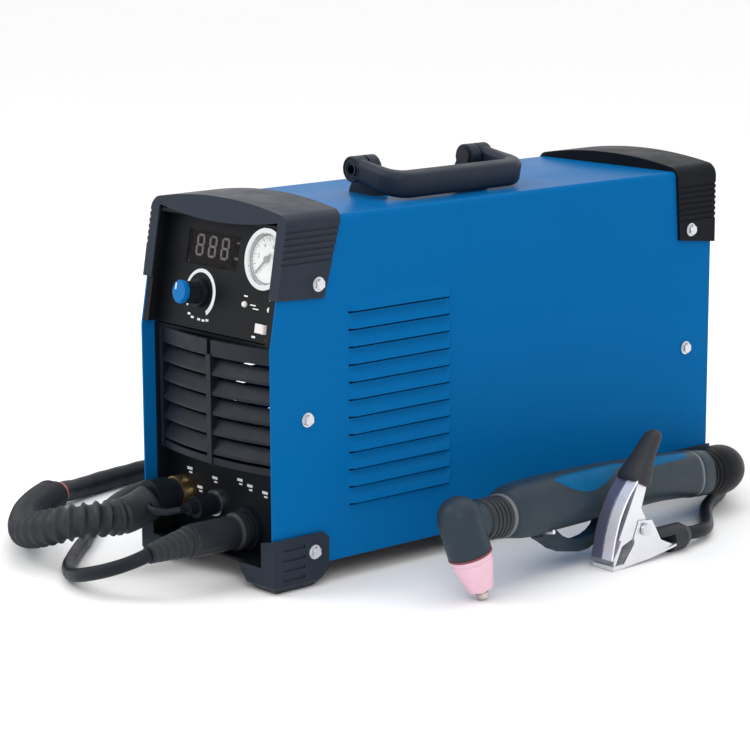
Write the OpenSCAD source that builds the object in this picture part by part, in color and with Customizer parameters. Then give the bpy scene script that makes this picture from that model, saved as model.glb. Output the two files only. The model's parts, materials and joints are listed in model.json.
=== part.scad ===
// Plasma cutter unit: sheet-steel power source with hand torch, earth clamp and their leads.
// X runs to the right seen from the front, Y runs back from the front, Z is up.

/* [Case] */
// Length of the case from front to back
case_len = 400; // [396:1:404]
// Width over the two side sheets
case_w = 132; // [131:0.5:133]
// Height of the case without its feet
case_h = 219; // [217:0.5:221]
// Thickness of the steel sheets
sheet_t = 1.2; // [1:0.1:1.5]
// Angle by which the upper front leans back
front_lean = 9.8; // [9:0.1:10.5]
// Height of the case above the floor
foot_drop = 14; // [13:0.5:15]

/* [Louvres] */
// Number of louvres on each side
louvre_n = 12; // [8:1:12]
// Distance from one louvre to the next
louvre_pitch = 11.2; // [10.5:0.1:11.4]
// Height of the topmost louvre
louvre_top = 161.4; // [158:0.1:162]
// Length of a louvre
louvre_len = 88; // [70:1:92]
// How far a louvre stands out of the sheet
louvre_out = 3; // [2.2:0.1:3.4]

/* [Carrying handle] */
// Distance between the middles of the two hinge lugs
lug_gap = 90; // [86:1:94]
// Reach of the folded handle from its pivot line
bail_reach = 45; // [43:1:47]
// Thickness of the handle
bail_t = 15; // [13:0.5:16]

/* [Front controls] */
// Outer diameter of the pressure gauge
gauge_d = 38.6; // [36:0.1:40]
// Diameter of the current knob's cap
knob_d = 15; // [13:0.5:17]
// Height of a display digit
digit_h = 14.2; // [12:0.1:15]

/* [Torch] */
// Distance from the head's centre to the handle's end
torch_len = 264; // [260:1:266]
// Height of the torch handle at its thickest
grip_h = 38; // [34:1:40]
// Angle between the nozzle and the handle
head_angle = 72; // [70:1:74]

/* [Leads] */
// Diameter of the torch lead
torch_lead_d = 12; // [11:0.5:12]
// Diameter of the earth lead
earth_lead_d = 9; // [8:0.5:9]

/* [Hidden] */
$fn = 48;
EPS = 0.01;
GAP = 0.1;             // clearance between fixed pieces
floor_z = -foot_drop;
half_w = case_w / 2;
inner_w = half_w - sheet_t;
lean_z = 140;          // height where the front starts to lean
hood_t = 2.4;          // wall of the plastic hoods and feet
hood_out = half_w + hood_t;
hood_low = 171;        // lower edge of the hoods' cheeks
hood_rise = 6.5;       // rise of the hoods' arched tops
hood_r = 9;            // their round top corners
hood_open = 59.5;      // half the width of the front hood's opening
visor_r = 340;         // bow of the front hood's lip, lowest in the middle
recess = 9.5;          // depth of the display behind the front edges
panel_z = 141;         // foot of the leaning display panel
panel_t = 2;
rim_depth = 9;         // rim round the display panel, forward of its face
panel_w = inner_w - 2.2;
connector_y = 20;      // face of the connector wall
shelf_z = 58;          // top of the connector bay
grille_sag = 8.5;      // forward bow of the grille
grille_y = 12;         // grille at its two ends
grille_half = 61.5;
grille_r = (grille_half * grille_half + grille_sag * grille_sag) / (2 * grille_sag);
rear_y = case_len - 6; // outer face of the rear panel
frame_shift = [-50, -208, foot_drop];

// Places on the leaning panel: distance across and distance up the slope.
gauge_at = [41.2, 52];
bezel = 3.1;           // width of the gauge's rim
knob_at = [-20.9, 23.4];
window_at = [-13, 52];
window_size = [52, 22];
digit_x = [-28.7, -16, -3.3];
lamp_at = [[25.2, 22.1], [50.4, 21.6]];
rocker_at = [44, 9];
rocker_pivot = 1.6;    // depth of the mode rocker's pivot behind the panel's face

// Places on the connector wall: across and up.
torch_socket_at = [-49, 28];
control_socket_at = [-15, 27];
earth_socket_at = [18.5, 16.5];

// Places of the side screws: along and up, and the surface that they sit on.
screw_sheet = [[28.4, 93.7], [375.6, 93.7]];
screw_hood = [[36.2, 178.2], [376.4, 177.8]];
screw_foot = [[31.4, 9.2], [case_len - 31.4, 9.2]];

// Carrying handle.
pivot_x = 4;
pivot_z = case_h + 17;
lug_mid_y = 179;
lug_w = 8;
arm_w = 10;
bar_w = 13;            // width of the bar that the hand holds
pin_r = 3;

// Rear panel: across and up.
fan_at = [0, 142];
fan_size = 92;
fan_depth = 25;
switch_at = [-38, 52];
gland_at = [38, 50];
inlet_at = [2, 36];

// Hand torch: it lies on its tip, the trigger below.
torch_turn = 8.5;      // turn of the handle away from the case's length
torch_dip = 4;         // fall of the handle towards its tail
torch_roll = 10;       // lean of the head towards the case
nozzle_len = 50;       // from the head's centre to the tip's end
tip_r = 4;
tip_at = [158, 92, floor_z + 1];
trigger_at = [0, 79, -15.5];

// Earth clamp: its plane stands square to X.
clamp_x = 160;
clamp_pin = [225, 9];
clamp_tip = [199, floor_z + 4];
clamp_rise = 64;

// Leads: centreline points, then the coils' centres, radii and rows.
boot_route = [[-49, -8, 26.5], [-49.5, -18, 22.5], [-50, -29, 20], [-51.5, -40, 20], [-54, -50, 20.5],
    [-59, -59, 19.5], [-68, -67, 17], [-80, -71, 13], [-93, -71, 9.5], [-106, -66, 6.5], [-119, -58, 4],
    [-133, -49, 2], [-147, -39, 0], [-162, -27, -1], [-176, -13, -1.6], [-188, 1, -2], [-199, 17, -2]];
torch_route = [[-199, 17, -2], [-208, 32, -4], [-215, 49, -6], [-221, 69, -6.5], [-226, 92, -6.5],
    [-230, 120, -6.5], [-234, 150, -7], [-237, 185, -8], [-240, 225, -8], [-243, 262, -8], [-243, 298, -8]];
torch_return = [[-137, 404, 25], [-122, 406, 20], [-108, 410, 11], [-92, 416, 2], [-74, 423, -5],
    [-50, 429, -8], [-18, 433, -8], [12, 433, -6], [35, 429, -2], [53, 422, 4], [69, 411, 9], [84, 396, 12]];
earth_route = [[18.5, -60, 14], [16.5, -67, 11.5], [10.5, -74, 8], [1, -79, 4], [-11, -82, 0],
    [-25, -82, -4], [-39, -78, -7], [-52, -71, -9], [-65, -62, -9.5], [-79, -49, -9.5], [-94, -34, -9.5],
    [-110, -17, -9.5], [-128, 0, -9.5], [-148, 20, -9.5], [-168, 42, -9.5], [-186, 66, -9.5],
    [-198, 92, -9.5], [-203, 118, -9.5], [-203, 146, -9.5], [-200, 168, -9.5]];
earth_return = [[-133, 229, -2], [-118, 235, -5.5], [-103, 246, -8.5], [-90, 260, -9.5], [-80, 282, -9.5],
    [-78, 312, -9.5], [-78, 345, -9.5], [-80, 372, -9.5], [-80, 394, -9.5], [-69, 412, -9.5],
    [-42, 418, -9.5], [-5, 417, -9.5], [25, 417, -9.5], [52, 414, -9.5], [73, 406, -9.5],
    [87, 393, -9.5], [97, 375, -9.5], [107, 357, -9.5], [120, 340, -9.5], [135, 324, -9],
    [149, 308, -8], [158, 292, -6], [160, 274, -5]];
boot_r = 12;           // radius of the ribbed boot on the torch lead
torch_coil_at = [-168, 330];
torch_coil_r = [57, 81];
torch_coil_h = 48;
earth_coil_at = [-150, 180];
earth_coil_r = [38, 56];
earth_coil_h = 18;

// Y of the case's front edge at height z.
function front_y(z) = z <= lean_z ? 0 : (z - lean_z) * tan(front_lean);

// ---- helpers ----------------------------------------------------------------

// A box given by its lowest and highest corners.
module box(low, high) {
    translate(low) cube(high - low);
}

// A cylinder along +Y from its start point.
module rod_y(start, r, length) {
    translate(start) rotate([-90, 0, 0]) cylinder(r = r, h = length);
}

// A cylinder along +X from its start point.
module rod_x(start, r, length) {
    translate(start) rotate([0, 90, 0]) cylinder(r = r, h = length);
}

// Children drawn in Y and Z become a slab from x0 to x1.
module side_slab(x0, x1) {
    translate([x0, 0, 0]) rotate([90, 0, 90]) linear_extrude(x1 - x0) children();
}

// Children drawn in X and Z become a slab from y0 to y1.
module front_slab(y0, y1) {
    translate([0, y1, 0]) rotate([90, 0, 0]) linear_extrude(y1 - y0) children();
}

// Children again, mirrored to the other side.
module both_sides() {
    children();
    mirror([1, 0, 0]) children();
}

// The leaning panel's frame: X across, Z up the slope, -Y out of the face.
module on_panel(at = [0, 0]) {
    translate([0, recess, panel_z]) rotate([-front_lean, 0, 0]) translate([at[0], 0, at[1]]) children();
}

// Rectangle with round corners, drawn about its centre.
module round_rect(size, r) {
    square([size[0] - 2 * r, size[1]], center = true);
    square([size[0], size[1] - 2 * r], center = true);
    for (x = [-1, 1], z = [-1, 1])
        translate([x * (size[0] / 2 - r), z * (size[1] / 2 - r)]) circle(r);
}

// Screw shanks or the holes for them, through both side walls.
module side_screws(r, depth) {
    both_sides() {
        for (p = concat(screw_sheet, screw_hood, screw_foot))
            rod_x([half_w - depth, p[0], p[1]], r, depth + hood_t + 1);
    }
}

// ---- case -------------------------------------------------------------------

module base_tray() {
    color([0.16, 0.17, 0.19])
    difference() {
        box([-inner_w + GAP, 1, 0], [inner_w - GAP, case_len - 1, 13]);
        box([-inner_w + 1.6, 2.6, 1.5], [inner_w - 1.6, case_len - 2.6, 14]);
        box([-inner_w + 1.6, -1, 1.5], [inner_w - 1.6, 4, 14]);
        for (y = [70 : 12 : 166])
            box([-45, y, -1], [45, y + 4, 3]);
        side_screws(2.3, 4);
    }
}

// Side outline of the case: upright in front, then leaning back.
module case_side(grow = 0) {
    polygon([[-grow, -1], [-grow, lean_z], [front_y(case_h) - grow, case_h],
        [front_y(case_h) - grow + 2, case_h + 20], [case_len, case_h + 20], [case_len, -1]]);
}

// Cross-section of the case with its round top edges, open below.
module case_section(inset, r) {
    translate([-half_w + inset, 0]) square([case_w - 2 * inset, case_h - inset - r]);
    translate([-half_w + inset + r, 0]) square([case_w - 2 * (inset + r), case_h - inset]);
    for (x = [-1, 1])
        translate([x * (half_w - inset - r), case_h - inset - r]) circle(r);
}

// One louvre on the right-hand side sheet: a pressed hood open below.
module louvre(z, shrink = 0) {
    half = louvre_len / 2 - shrink;
    out = louvre_out - shrink;
    intersection() {
        front_slab(60, 60 + louvre_len + 8)
            polygon([[half_w - 2, z + 4.4 - shrink], [half_w, z + 4.4 - shrink],
                [half_w + out * 0.75, z], [half_w + out, z - 3.2], [half_w + out, z - 3.6 - 1.7 * shrink],
                [half_w - 2, z - 3.6 - 1.7 * shrink]]);
        translate([0, 62 + louvre_len / 2, z - 10]) linear_extrude(20)
            polygon([[half_w - 2, -half], [half_w, -half], [half_w + out, 4 - half],
                [half_w + out, half - 4], [half_w, half], [half_w - 2, half]]);
    }
}

module case_cover() {
    color([0.0, 0.36, 0.62])
    difference() {
        union() {
            difference() {
                intersection() {
                    front_slab(0, case_len) case_section(0, 3.5);
                    side_slab(-half_w - 1, half_w + 1) case_side();
                }
                front_slab(-1, case_len + 1) translate([0, -1]) case_section(sheet_t, 2.3);
            }
            for (i = [0 : louvre_n - 1])
                both_sides() intersection() {
                    louvre(louvre_top - i * louvre_pitch);
                    box([half_w - sheet_t, 0, 0], [half_w + 9, case_len, case_h]);
                }
        }
        for (i = [0 : louvre_n - 1])
            both_sides() louvre(louvre_top - i * louvre_pitch, 0.9);
        side_screws(2.3, 4);
        for (y = [-1, 1], s = [-1, 1])
            translate([pivot_x + s * 9, lug_mid_y + y * lug_gap / 2, case_h - 3]) cylinder(r = 2.2, h = 6);
    }
}

module front_panel() {
    color([0.17, 0.18, 0.21])
    difference() {
        union() {
            box([-panel_w, connector_y, 2], [panel_w, connector_y + 2.5, shelf_z]);
            both_sides() box([panel_w, 9.5, 13.2], [inner_w - GAP, 26, lean_z]);
            box([-inner_w + 2.2, 1.2, 1.6], [inner_w - 2.2, connector_y + 2.5, 2.8]);
            box([-panel_w, grille_y + 4, shelf_z - 2.5], [panel_w, 26, shelf_z]);
            box([-panel_w, 9.7, 138.4], [panel_w, 26, panel_z - 0.6]);
            // slotted plate behind the grille
            difference() {
                box([-panel_w, 24, shelf_z - 1], [panel_w, 25.6, 139]);
                for (i = [0 : 4])
                    box([-52, 23, 121 - i * 12.7], [52, 27, 124 - i * 12.7]);
            }
        }
        rod_y([torch_socket_at[0], connector_y - 1, torch_socket_at[1]], 9.2, 6);
        rod_y([control_socket_at[0], connector_y - 1, control_socket_at[1]], 6.2, 6);
        rod_y([earth_socket_at[0], connector_y - 1, earth_socket_at[1]], 11.2, 6);
    }
}

module display_panel() {
    color([0.13, 0.12, 0.13])
    on_panel() difference() {
        union() {
            box([-panel_w, 0, 0.4], [panel_w, panel_t, 71.5]);
            both_sides() box([panel_w, -rim_depth, 0.4], [inner_w - GAP, panel_t, 73.6]);
            both_sides() box([hood_open, -rim_depth, 0.4], [panel_w + 1, -rim_depth + 3.6, 73.6]);
            box([-panel_w, -rim_depth, 71.5], [panel_w, panel_t, 73.6]);
        }
        rod_y([gauge_at[0], -1, gauge_at[1]], gauge_d / 2 - 1.6, 4);
        rod_y([knob_at[0], -1, knob_at[1]], 3.6, 4);
        box([window_at[0] - window_size[0] / 2, -1, window_at[1] - window_size[1] / 2],
            [window_at[0] + window_size[0] / 2, 3, window_at[1] + window_size[1] / 2]);
        for (p = lamp_at)
            rod_y([p[0], -1, p[1]], 2.1, 4);
        box([rocker_at[0] - 6.6, -1, rocker_at[1] - 3.2], [rocker_at[0] + 6.6, 3, rocker_at[1] + 3.2]);
    }
}

// A band bent to the grille's bow: children are drawn in radius and height.
module grille_band() {
    intersection() {
        translate([0, grille_y - grille_sag + grille_r, 0]) rotate_extrude($fn = 360) children();
        box([-grille_half, 0, shelf_z + 0.3], [grille_half, 24, 138.2]);
    }
}

module front_grille() {
    color([0.2, 0.21, 0.24])
    union() {
        difference() {
            grille_band() translate([grille_r - 3, 128]) square([3, 10.2]);
            box([-2, 0, 129], [2, 12, 140]);
        }
        grille_band() translate([grille_r - 3, shelf_z + 0.3]) square([3, 4.4]);
        for (i = [0 : 4])
            grille_band() translate([0, 115.6 - i * 12.7])
                polygon([[grille_r - 6.4, 9.6], [grille_r - 4.6, 9.6], [grille_r, 1.8], [grille_r, 0],
                    [grille_r - 2.2, 0], [grille_r - 6.4, 7.4]]);
        box([-2.3, grille_y - grille_sag - 0.8, shelf_z + 0.3], [2.3, grille_y - 1, 129]);
        both_sides() box([grille_half - 3.4, 10.6, shelf_z + 0.3], [grille_half - EPS, 18.4, 138.2]);
    }
}

// Outline of a hood from the front: straight cheeks, an arched top and round corners.
module hood_section() {
    arch_r = (hood_out * hood_out + hood_rise * hood_rise) / (2 * hood_rise);
    arch_z = case_h + 2 + hood_rise - arch_r;
    corner_x = hood_out - hood_r;
    corner_z = arch_z + sqrt(pow(arch_r - hood_r, 2) - corner_x * corner_x);
    translate([-hood_out, 150]) square([2 * hood_out, corner_z - 150]);
    for (s = [-1, 1])
        translate([s * corner_x, corner_z]) circle(hood_r);
    intersection() {
        translate([0, arch_z]) circle(arch_r, $fn = 360);
        polygon([[-corner_x, 150], [corner_x, 150], [corner_x, corner_z],
            [corner_x * 1.1, corner_z * 1.1 - arch_z * 0.1],
            [-corner_x * 1.1, corner_z * 1.1 - arch_z * 0.1], [-corner_x, corner_z]]);
    }
}

// Grooves across a hood's or foot's cheek, from y0 to y1.
module cheek_grooves(y0, y1, z0, n, pitch) {
    both_sides() for (i = [0 : n - 1])
        box([hood_out - 0.8, y0, z0 + i * pitch], [hood_out + 1, y1, z0 + i * pitch + 1.7]);
}

module front_hood() {
    color([0.17, 0.18, 0.21])
    difference() {
        intersection() {
            front_slab(0, 70) hood_section();
            side_slab(-80, 80)
                polygon([[front_y(hood_low) - 1.4, hood_low], [front_y(240) - 1.4, 240],
                    [62, 240], [41.2, 169]]);
        }
        // the steel case that the hood covers
        intersection() {
            front_slab(0, 90) case_section(-0.05, 3.5);
            side_slab(-80, 80) case_side(0.05);
        }
        // the open front, whose upper edge bows down in the middle
        front_slab(-20, 16) difference() {
            translate([-hood_open, 150]) square([2 * hood_open, 67]);
            translate([0, 212 + visor_r]) circle(visor_r, $fn = 360);
        }
        cheek_grooves(0, 70, 192, 6, 3.9);
        side_screws(2.3, 4);
    }
}

module rear_hood() {
    color([0.17, 0.18, 0.21])
    difference() {
        intersection() {
            front_slab(340, case_len + 2) hood_section();
            side_slab(-80, 80)
                polygon([[366, hood_low], [361, 240], [case_len + 2, 240], [case_len + 2, 167]]);
        }
        front_slab(330, case_len + 0.05) case_section(-0.05, 3.5);
        box([-panel_w, 340, 150], [panel_w, case_len + 3, case_h - 7]);
        cheek_grooves(350, 410, 184, 7, 3.9);
        side_screws(2.3, 4);
    }
}

// One corner foot at the front right.
module corner_foot() {
    difference() {
        intersection() {
            side_slab(20, hood_out)
                polygon([[-1.4, 21], [38.4, 21], [43.7, 16.7], [43.7, -3], [31.5, floor_z], [4, floor_z],
                    [-1.4, floor_z + 5]]);
            front_slab(-2, 50)
                polygon([[hood_out, 21], [56, 18.2], [56, 2], [31.7, 1.8], [45.5, floor_z], [64, floor_z],
                    [hood_out, floor_z + 5]]);
        }
        box([0, -0.05, -0.05], [half_w + 0.05, 60, 30]);
        for (i = [0 : 3])
            box([hood_out - 0.7, 6, -6 + i * 6.4], [hood_out + 1, 24, -4.2 + i * 6.4]);
        side_screws(2.3, 4);
    }
}

module corner_feet() {
    color([0.17, 0.18, 0.21])
    for (back = [0, 1])
        translate([0, back * case_len, 0]) mirror([0, back, 0]) both_sides() corner_foot();
}

module rear_panel() {
    color([0.17, 0.18, 0.21])
    difference() {
        box([-inner_w + 1.7, rear_y - 1.5, 1.7], [inner_w - 1.7, rear_y, case_h - 3.6]);
        rod_y([fan_at[0], rear_y - 3, fan_at[1]], 43, 6);
        translate([switch_at[0], rear_y, switch_at[1]])
            front_slab(-4, 4) square([28.4, 21.4], center = true);
        rod_y([gland_at[0], rear_y - 3, gland_at[1]], 8.1, 6);
        rod_y([inlet_at[0], rear_y - 3, inlet_at[1]], 7.1, 6);
    }
}

module case_screws() {
    color([0.8, 0.81, 0.82])
    both_sides() {
        for (p = screw_sheet)
            screw([half_w + 0.02, p[0], p[1]]);
        for (p = concat(screw_hood, screw_foot))
            screw([hood_out + 0.02, p[0], p[1]]);
    }
}

// Hexagon screw with its washer, pointing into the case.
module screw(at) {
    rod_x(at, 4.6, 0.9);
    translate(at) rotate([0, 90, 0]) cylinder(r = 3.7, h = 3, $fn = 6);
    rod_x(at, 2.9, 3.4);
    rod_x([at[0] - 6, at[1], at[2]], 1.8, 7);
}

// ---- cooling ----------------------------------------------------------------

module fan_frame() {
    y0 = rear_y - 1.6 - fan_depth;
    color([0.12, 0.12, 0.13])
    difference() {
        union() {
            difference() {
                box([fan_at[0] - fan_size / 2, y0, fan_at[1] - fan_size / 2],
                    [fan_at[0] + fan_size / 2, y0 + fan_depth, fan_at[1] + fan_size / 2]);
                rod_y([fan_at[0], y0 - 1, fan_at[1]], 43, fan_depth + 2);
            }
            rod_y([fan_at[0], y0, fan_at[1]], 18, 4);
            translate([fan_at[0], y0, fan_at[1]])
                for (a = [45 : 90 : 315])
                    rotate([0, a, 0]) box([15, 0, -2], [44, 3, 2]);
        }
        rod_y([fan_at[0], y0 - 1, fan_at[1]], 2.05, 6);
        for (x = [-41.3, 41.3], z = [-41.3, 41.3])
            rod_y([fan_at[0] + x, y0 - 1, fan_at[1] + z], 2.2, fan_depth + 2);
    }
}

module fan_rotor() {
    y0 = rear_y - 1.6 - fan_depth;
    color([0.1, 0.1, 0.11])
    union() {
        rod_y([fan_at[0], y0 + 4.6, fan_at[1]], 18, 18);
        rod_y([fan_at[0], y0 + 0.5, fan_at[1]], 2, 6);
        intersection() {
            translate([fan_at[0], y0 + 14, fan_at[1]])
                for (a = [0 : 360 / 7 : 359])
                    rotate([0, a, 0]) rotate([38, 0, 0]) box([12, -9, -0.8], [46, 9, 0.8]);
            rod_y([fan_at[0], y0 + 5.4, fan_at[1]], 41.5, 17.4);
        }
    }
}

module fan_guard() {
    color([0.72, 0.73, 0.75])
    translate([fan_at[0], rear_y, fan_at[1]]) rotate([-90, 0, 0])
    union() {
        for (r = [12 : 8 : 44])
            translate([0, 0, 3]) rotate_extrude() translate([r, 0]) circle(1.1, $fn = 24);
        for (a = [45 : 90 : 315])
            rotate([0, 0, a]) {
                translate([10, 0, 1.4]) rotate([0, 90, 0]) cylinder(r = 1.1, h = 46, $fn = 24);
                translate([58.4, 0, 0.05]) cylinder(r = 4.4, h = 2.6);
            }
    }
}

// ---- inside -----------------------------------------------------------------

module control_board() {
    color([0.08, 0.38, 0.2])
    on_panel() {
        box([-56, 16, 6], [20, 17.6, 66]);
        for (x = [-50, -38, 6])
            box([x, 17.6, 14], [x + 9, 21, 24]);
    }
}

module power_board() {
    color([0.08, 0.36, 0.2])
    union() {
        box([-56, 60, 20], [56, 350, 21.8]);
        for (x = [-50, 50], y = [66, 344])
            translate([x, y, 1.5]) cylinder(r = 3, h = 19);
        for (y = [80, 118, 156])
            translate([-34, y, 21.8]) cylinder(r = 15, h = 44);
    }
}

module heat_sinks() {
    color([0.78, 0.79, 0.8])
    for (y = [186, 260])
        union() {
            box([-52, y, 22], [-4, y + 66, 30]);
            for (i = [0 : 7])
                box([-52 + i * 6.4, y, 30], [-49.8 + i * 6.4, y + 66, 62]);
        }
}

module transformer() {
    color([0.35, 0.22, 0.12])
    union() {
        box([8, 206, 22], [52, 262, 30]);
        box([8, 206, 62], [52, 262, 70]);
        box([8, 206, 29], [52, 216, 63]);
        box([8, 252, 29], [52, 262, 63]);
        translate([30, 234, 30]) cylinder(r = 17, h = 32);
    }
}

module air_valve() {
    color([0.7, 0.6, 0.3])
    union() {
        box([inlet_at[0] - 10, rear_y - 62, 26], [inlet_at[0] + 10, rear_y - 36, 46]);
        rod_y([inlet_at[0], rear_y - 37, inlet_at[1]], 4.5, 16.8);
        translate([inlet_at[0], rear_y - 49, 46]) cylinder(r = 9, h = 28);
    }
}

module air_inlet() {
    color([0.8, 0.66, 0.34])
    union() {
        rod_y([inlet_at[0], rear_y - 20, inlet_at[1]], 7, 22);
        translate([inlet_at[0], rear_y + 0.05, inlet_at[1]])
            rotate([-90, 0, 0]) cylinder(r = 10.5, h = 6, $fn = 6);
        rod_y([inlet_at[0], rear_y + 6, inlet_at[1]], 5, 20);
    }
}

module mains_gland() {
    color([0.1, 0.1, 0.11])
    difference() {
        union() {
            rod_y([gland_at[0], rear_y - 9, gland_at[1]], 8, 12);
            translate([gland_at[0], rear_y + 0.05, gland_at[1]])
                rotate([-90, 0, 0]) cylinder(r = 12, h = 6, $fn = 6);
            rod_y([gland_at[0], rear_y + 6, gland_at[1]], 9.5, 12);
            rod_y([gland_at[0], rear_y + 18, gland_at[1]], 7, 5);
        }
        rod_y([gland_at[0], rear_y - 10, gland_at[1]], 4.5, 40);
    }
}

module switch_frame() {
    color([0.08, 0.08, 0.09])
    translate([switch_at[0], rear_y, switch_at[1]])
    difference() {
        union() {
            front_slab(0.05, 2.2) round_rect([32, 25], 2);
            front_slab(-18, 0.06) square([28, 21], center = true);
        }
        front_slab(-12, 3) square([24.4, 18.4], center = true);
        rod_x([-15, -2, 0], 1.55, 30);
    }
}

module power_switch() {
    color([0.75, 0.12, 0.1])
    translate([switch_at[0], rear_y - 2, switch_at[1]])
    union() {
        side_slab(-11.9, 11.9) intersection() {
            circle(8.9, $fn = 64);
            polygon([[-5, -6], [0, -10], [6.6, -10], [3.6, 0], [4, 10], [0, 10], [-5, 6]]);
        }
        rod_x([-13.6, 0, 0], 1.5, 27.2);
    }
}

// ---- front controls ---------------------------------------------------------

module gauge_case() {
    color([0.85, 0.86, 0.87])
    on_panel(gauge_at) difference() {
        union() {
            rod_y([0, -2.2, 0], gauge_d / 2, 2.15);
            rod_y([0, -0.1, 0], gauge_d / 2 - 1.8, 22);
            rod_y([0, 20, 0], 5, 8);
        }
        rod_y([0, -6, 0], gauge_d / 2 - bezel, 8);
    }
}

module gauge_dial() {
    color([0.94, 0.94, 0.93])
    on_panel(gauge_at) difference() {
        rod_y([0, 0.6, 0], gauge_d / 2 - bezel - 0.1, 1.3);
        rod_y([0, 0, 0], 1.3, 4);
    }
}

module gauge_needle() {
    color([0.1, 0.1, 0.1])
    on_panel(gauge_at) rotate([0, -135, 0])
    union() {
        rod_y([0, -1.2, 0], 2.2, 1.2);
        rod_y([0, -0.2, 0], 1.2, 2);
        front_slab(-0.9, -0.3) polygon([[-0.9, -5], [0.9, -5], [0.35, 13], [-0.35, 13]]);
    }
}

module gauge_lens() {
    color([0.8, 0.88, 0.9, 0.35])
    on_panel(gauge_at) rod_y([0, -2.1, 0], gauge_d / 2 - bezel - 0.1, 0.7);
}

module current_knob() {
    color([0.09, 0.09, 0.1])
    on_panel(knob_at) difference() {
        union() {
            rod_y([0, -3.4, 0], 9, 2.9);
            rod_y([0, -14, 0], knob_d / 2 - 0.4, 11);
            rod_y([0, -2, 0], 3, 12);
        }
        for (a = [0 : 30 : 330])
            rotate([0, a, 0]) rod_y([knob_d / 2 + 0.2, -13.9, 0], 1, 10.4);
    }
}

module knob_cap() {
    color([0.0, 0.42, 0.72])
    on_panel(knob_at) union() {
        rod_y([0, -16, 0], knob_d / 2, 2);
        rod_y([0, -17, 0], knob_d / 2 - 1, 1.2);
    }
}

module knob_pot() {
    color([0.7, 0.7, 0.72])
    on_panel(knob_at) difference() {
        union() {
            rod_y([0, panel_t + 0.05, 0], 8, 9);
            rod_y([0, 0.05, 0], 3.55, 3);
        }
        rod_y([0, -1, 0], 3.05, 11.4);
    }
}

// One seven-segment digit, drawn about its centre in X and Z.
module digit() {
    w = digit_h * 0.5;
    h = digit_h / 2;
    t = 1.5;
    for (z = [-h, 0, h])
        translate([0, z * (1 - t / digit_h)]) square([w - t - 0.5, t], center = true);
    for (x = [-1, 1], z = [-1, 1])
        translate([x * (w - t) / 2, z * (h - t / 2) / 2]) square([t, h - t - 0.6], center = true);
}

module digit_display() {
    color([0.95, 0.75, 0.6])
    on_panel([0, window_at[1]]) {
        box([-38, 4, -9.5], [2, 15.9, 9.5]);
        for (x = digit_x)
            translate([x, 0, 0]) front_slab(3.4, 4.01) digit();
    }
}

module display_window() {
    color([0.2, 0.1, 0.08, 0.5])
    on_panel(window_at) front_slab(0.3, 1.8)
        square([window_size[0] - 0.2, window_size[1] - 0.2], center = true);
}

module indicator_lamps() {
    color([0.9, 0.9, 0.85])
    on_panel() for (p = lamp_at)
        translate([p[0], 0, p[1]]) {
            rod_y([0, -0.4, 0], 2, 7);
            intersection() {
                translate([0, -0.4, 0]) sphere(2);
                rod_y([0, -3, 0], 3, 2.7);
            }
        }
}

module mode_rocker() {
    color([0.85, 0.86, 0.84])
    on_panel(rocker_at) translate([0, rocker_pivot, -2.9]) linear_extrude(5.8)
        intersection() {
            circle(6.2, $fn = 64);
            polygon([[-8, -2.4], [0, -2.6], [8, -5.4], [8, 2], [3, 4.4], [-3, 4.4], [-8, 2]]);
        }
}

module torch_outlet() {
    x = torch_socket_at[0];
    z = torch_socket_at[1];
    color([0.8, 0.62, 0.3])
    difference() {
        union() {
            rod_y([x, connector_y - 9, z], 11.6, 8.95);
            rod_y([x, connector_y - 1, z], 9.1, 16);
        }
        rod_y([x, connector_y - 12, z], 7.2, 20);
    }
}

module control_socket() {
    x = control_socket_at[0];
    z = control_socket_at[1];
    color([0.6, 0.61, 0.63])
    difference() {
        union() {
            rod_y([x, connector_y - 2.5, z], 8.6, 2.45);
            rod_y([x, connector_y - 1, z], 6.1, 12);
        }
        rod_y([x, connector_y - 4, z], 5, 9);
    }
}

module earth_socket() {
    x = earth_socket_at[0];
    z = earth_socket_at[1];
    color([0.1, 0.1, 0.11])
    difference() {
        union() {
            rod_y([x, connector_y - 4, z], 13.6, 3.95);
            rod_y([x, connector_y - 1, z], 11.1, 18);
        }
        rod_y([x, connector_y - 6, z], 7, 20);
    }
}

// Plug in the control socket, with its short lead into the torch plug.
module control_lead() {
    x = control_socket_at[0];
    z = control_socket_at[1];
    color([0.1, 0.1, 0.11])
    union() {
        rod_y([x, connector_y - 18, z], 7.2, 15.4);
        rod_y([x, connector_y - 24, z], 4.2, 7);
        rod_y([x, connector_y - 3.5, z], 4.9, 6);
        sweep([[x, -3, z], [x - 1, -10, z], [x - 5, -17, z - 1], [x - 12, -21, z - 1],
            [x - 19, -20, z - 1], [x - 24, -17, z]], 2.2, 8);
    }
}

// ---- carrying handle --------------------------------------------------------

module handle_lugs() {
    color([0.13, 0.14, 0.16])
    for (side = [-1, 1])
        translate([pivot_x, lug_mid_y + side * lug_gap / 2, 0])
        difference() {
            union() {
                front_slab(-lug_w / 2, lug_w / 2)
                    polygon([[-15, case_h + 0.05], [15, case_h + 0.05], [14, case_h + 3],
                        [8, pivot_z - 3], [-8, pivot_z - 3], [-14, case_h + 3]]);
                rod_y([0, -lug_w / 2, pivot_z], 8.5, lug_w);
            }
            rod_y([0, -lug_w, pivot_z], pin_r + 0.04, 2 * lug_w);
        }
}

// Half of the handle's length.
function bail_half() = lug_gap / 2 + lug_w / 2 + arm_w + 1;

// Plan of a round-cornered U from the pivot line out to x = reach.
module bail_plan(half, reach, r) {
    translate([-EPS, -half]) square([reach - r + EPS, 2 * half]);
    translate([0, r - half]) square([reach, 2 * (half - r)]);
    for (s = [-1, 1])
        translate([reach - r, s * (half - r)]) circle(r, $fn = 96);
}

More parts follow.
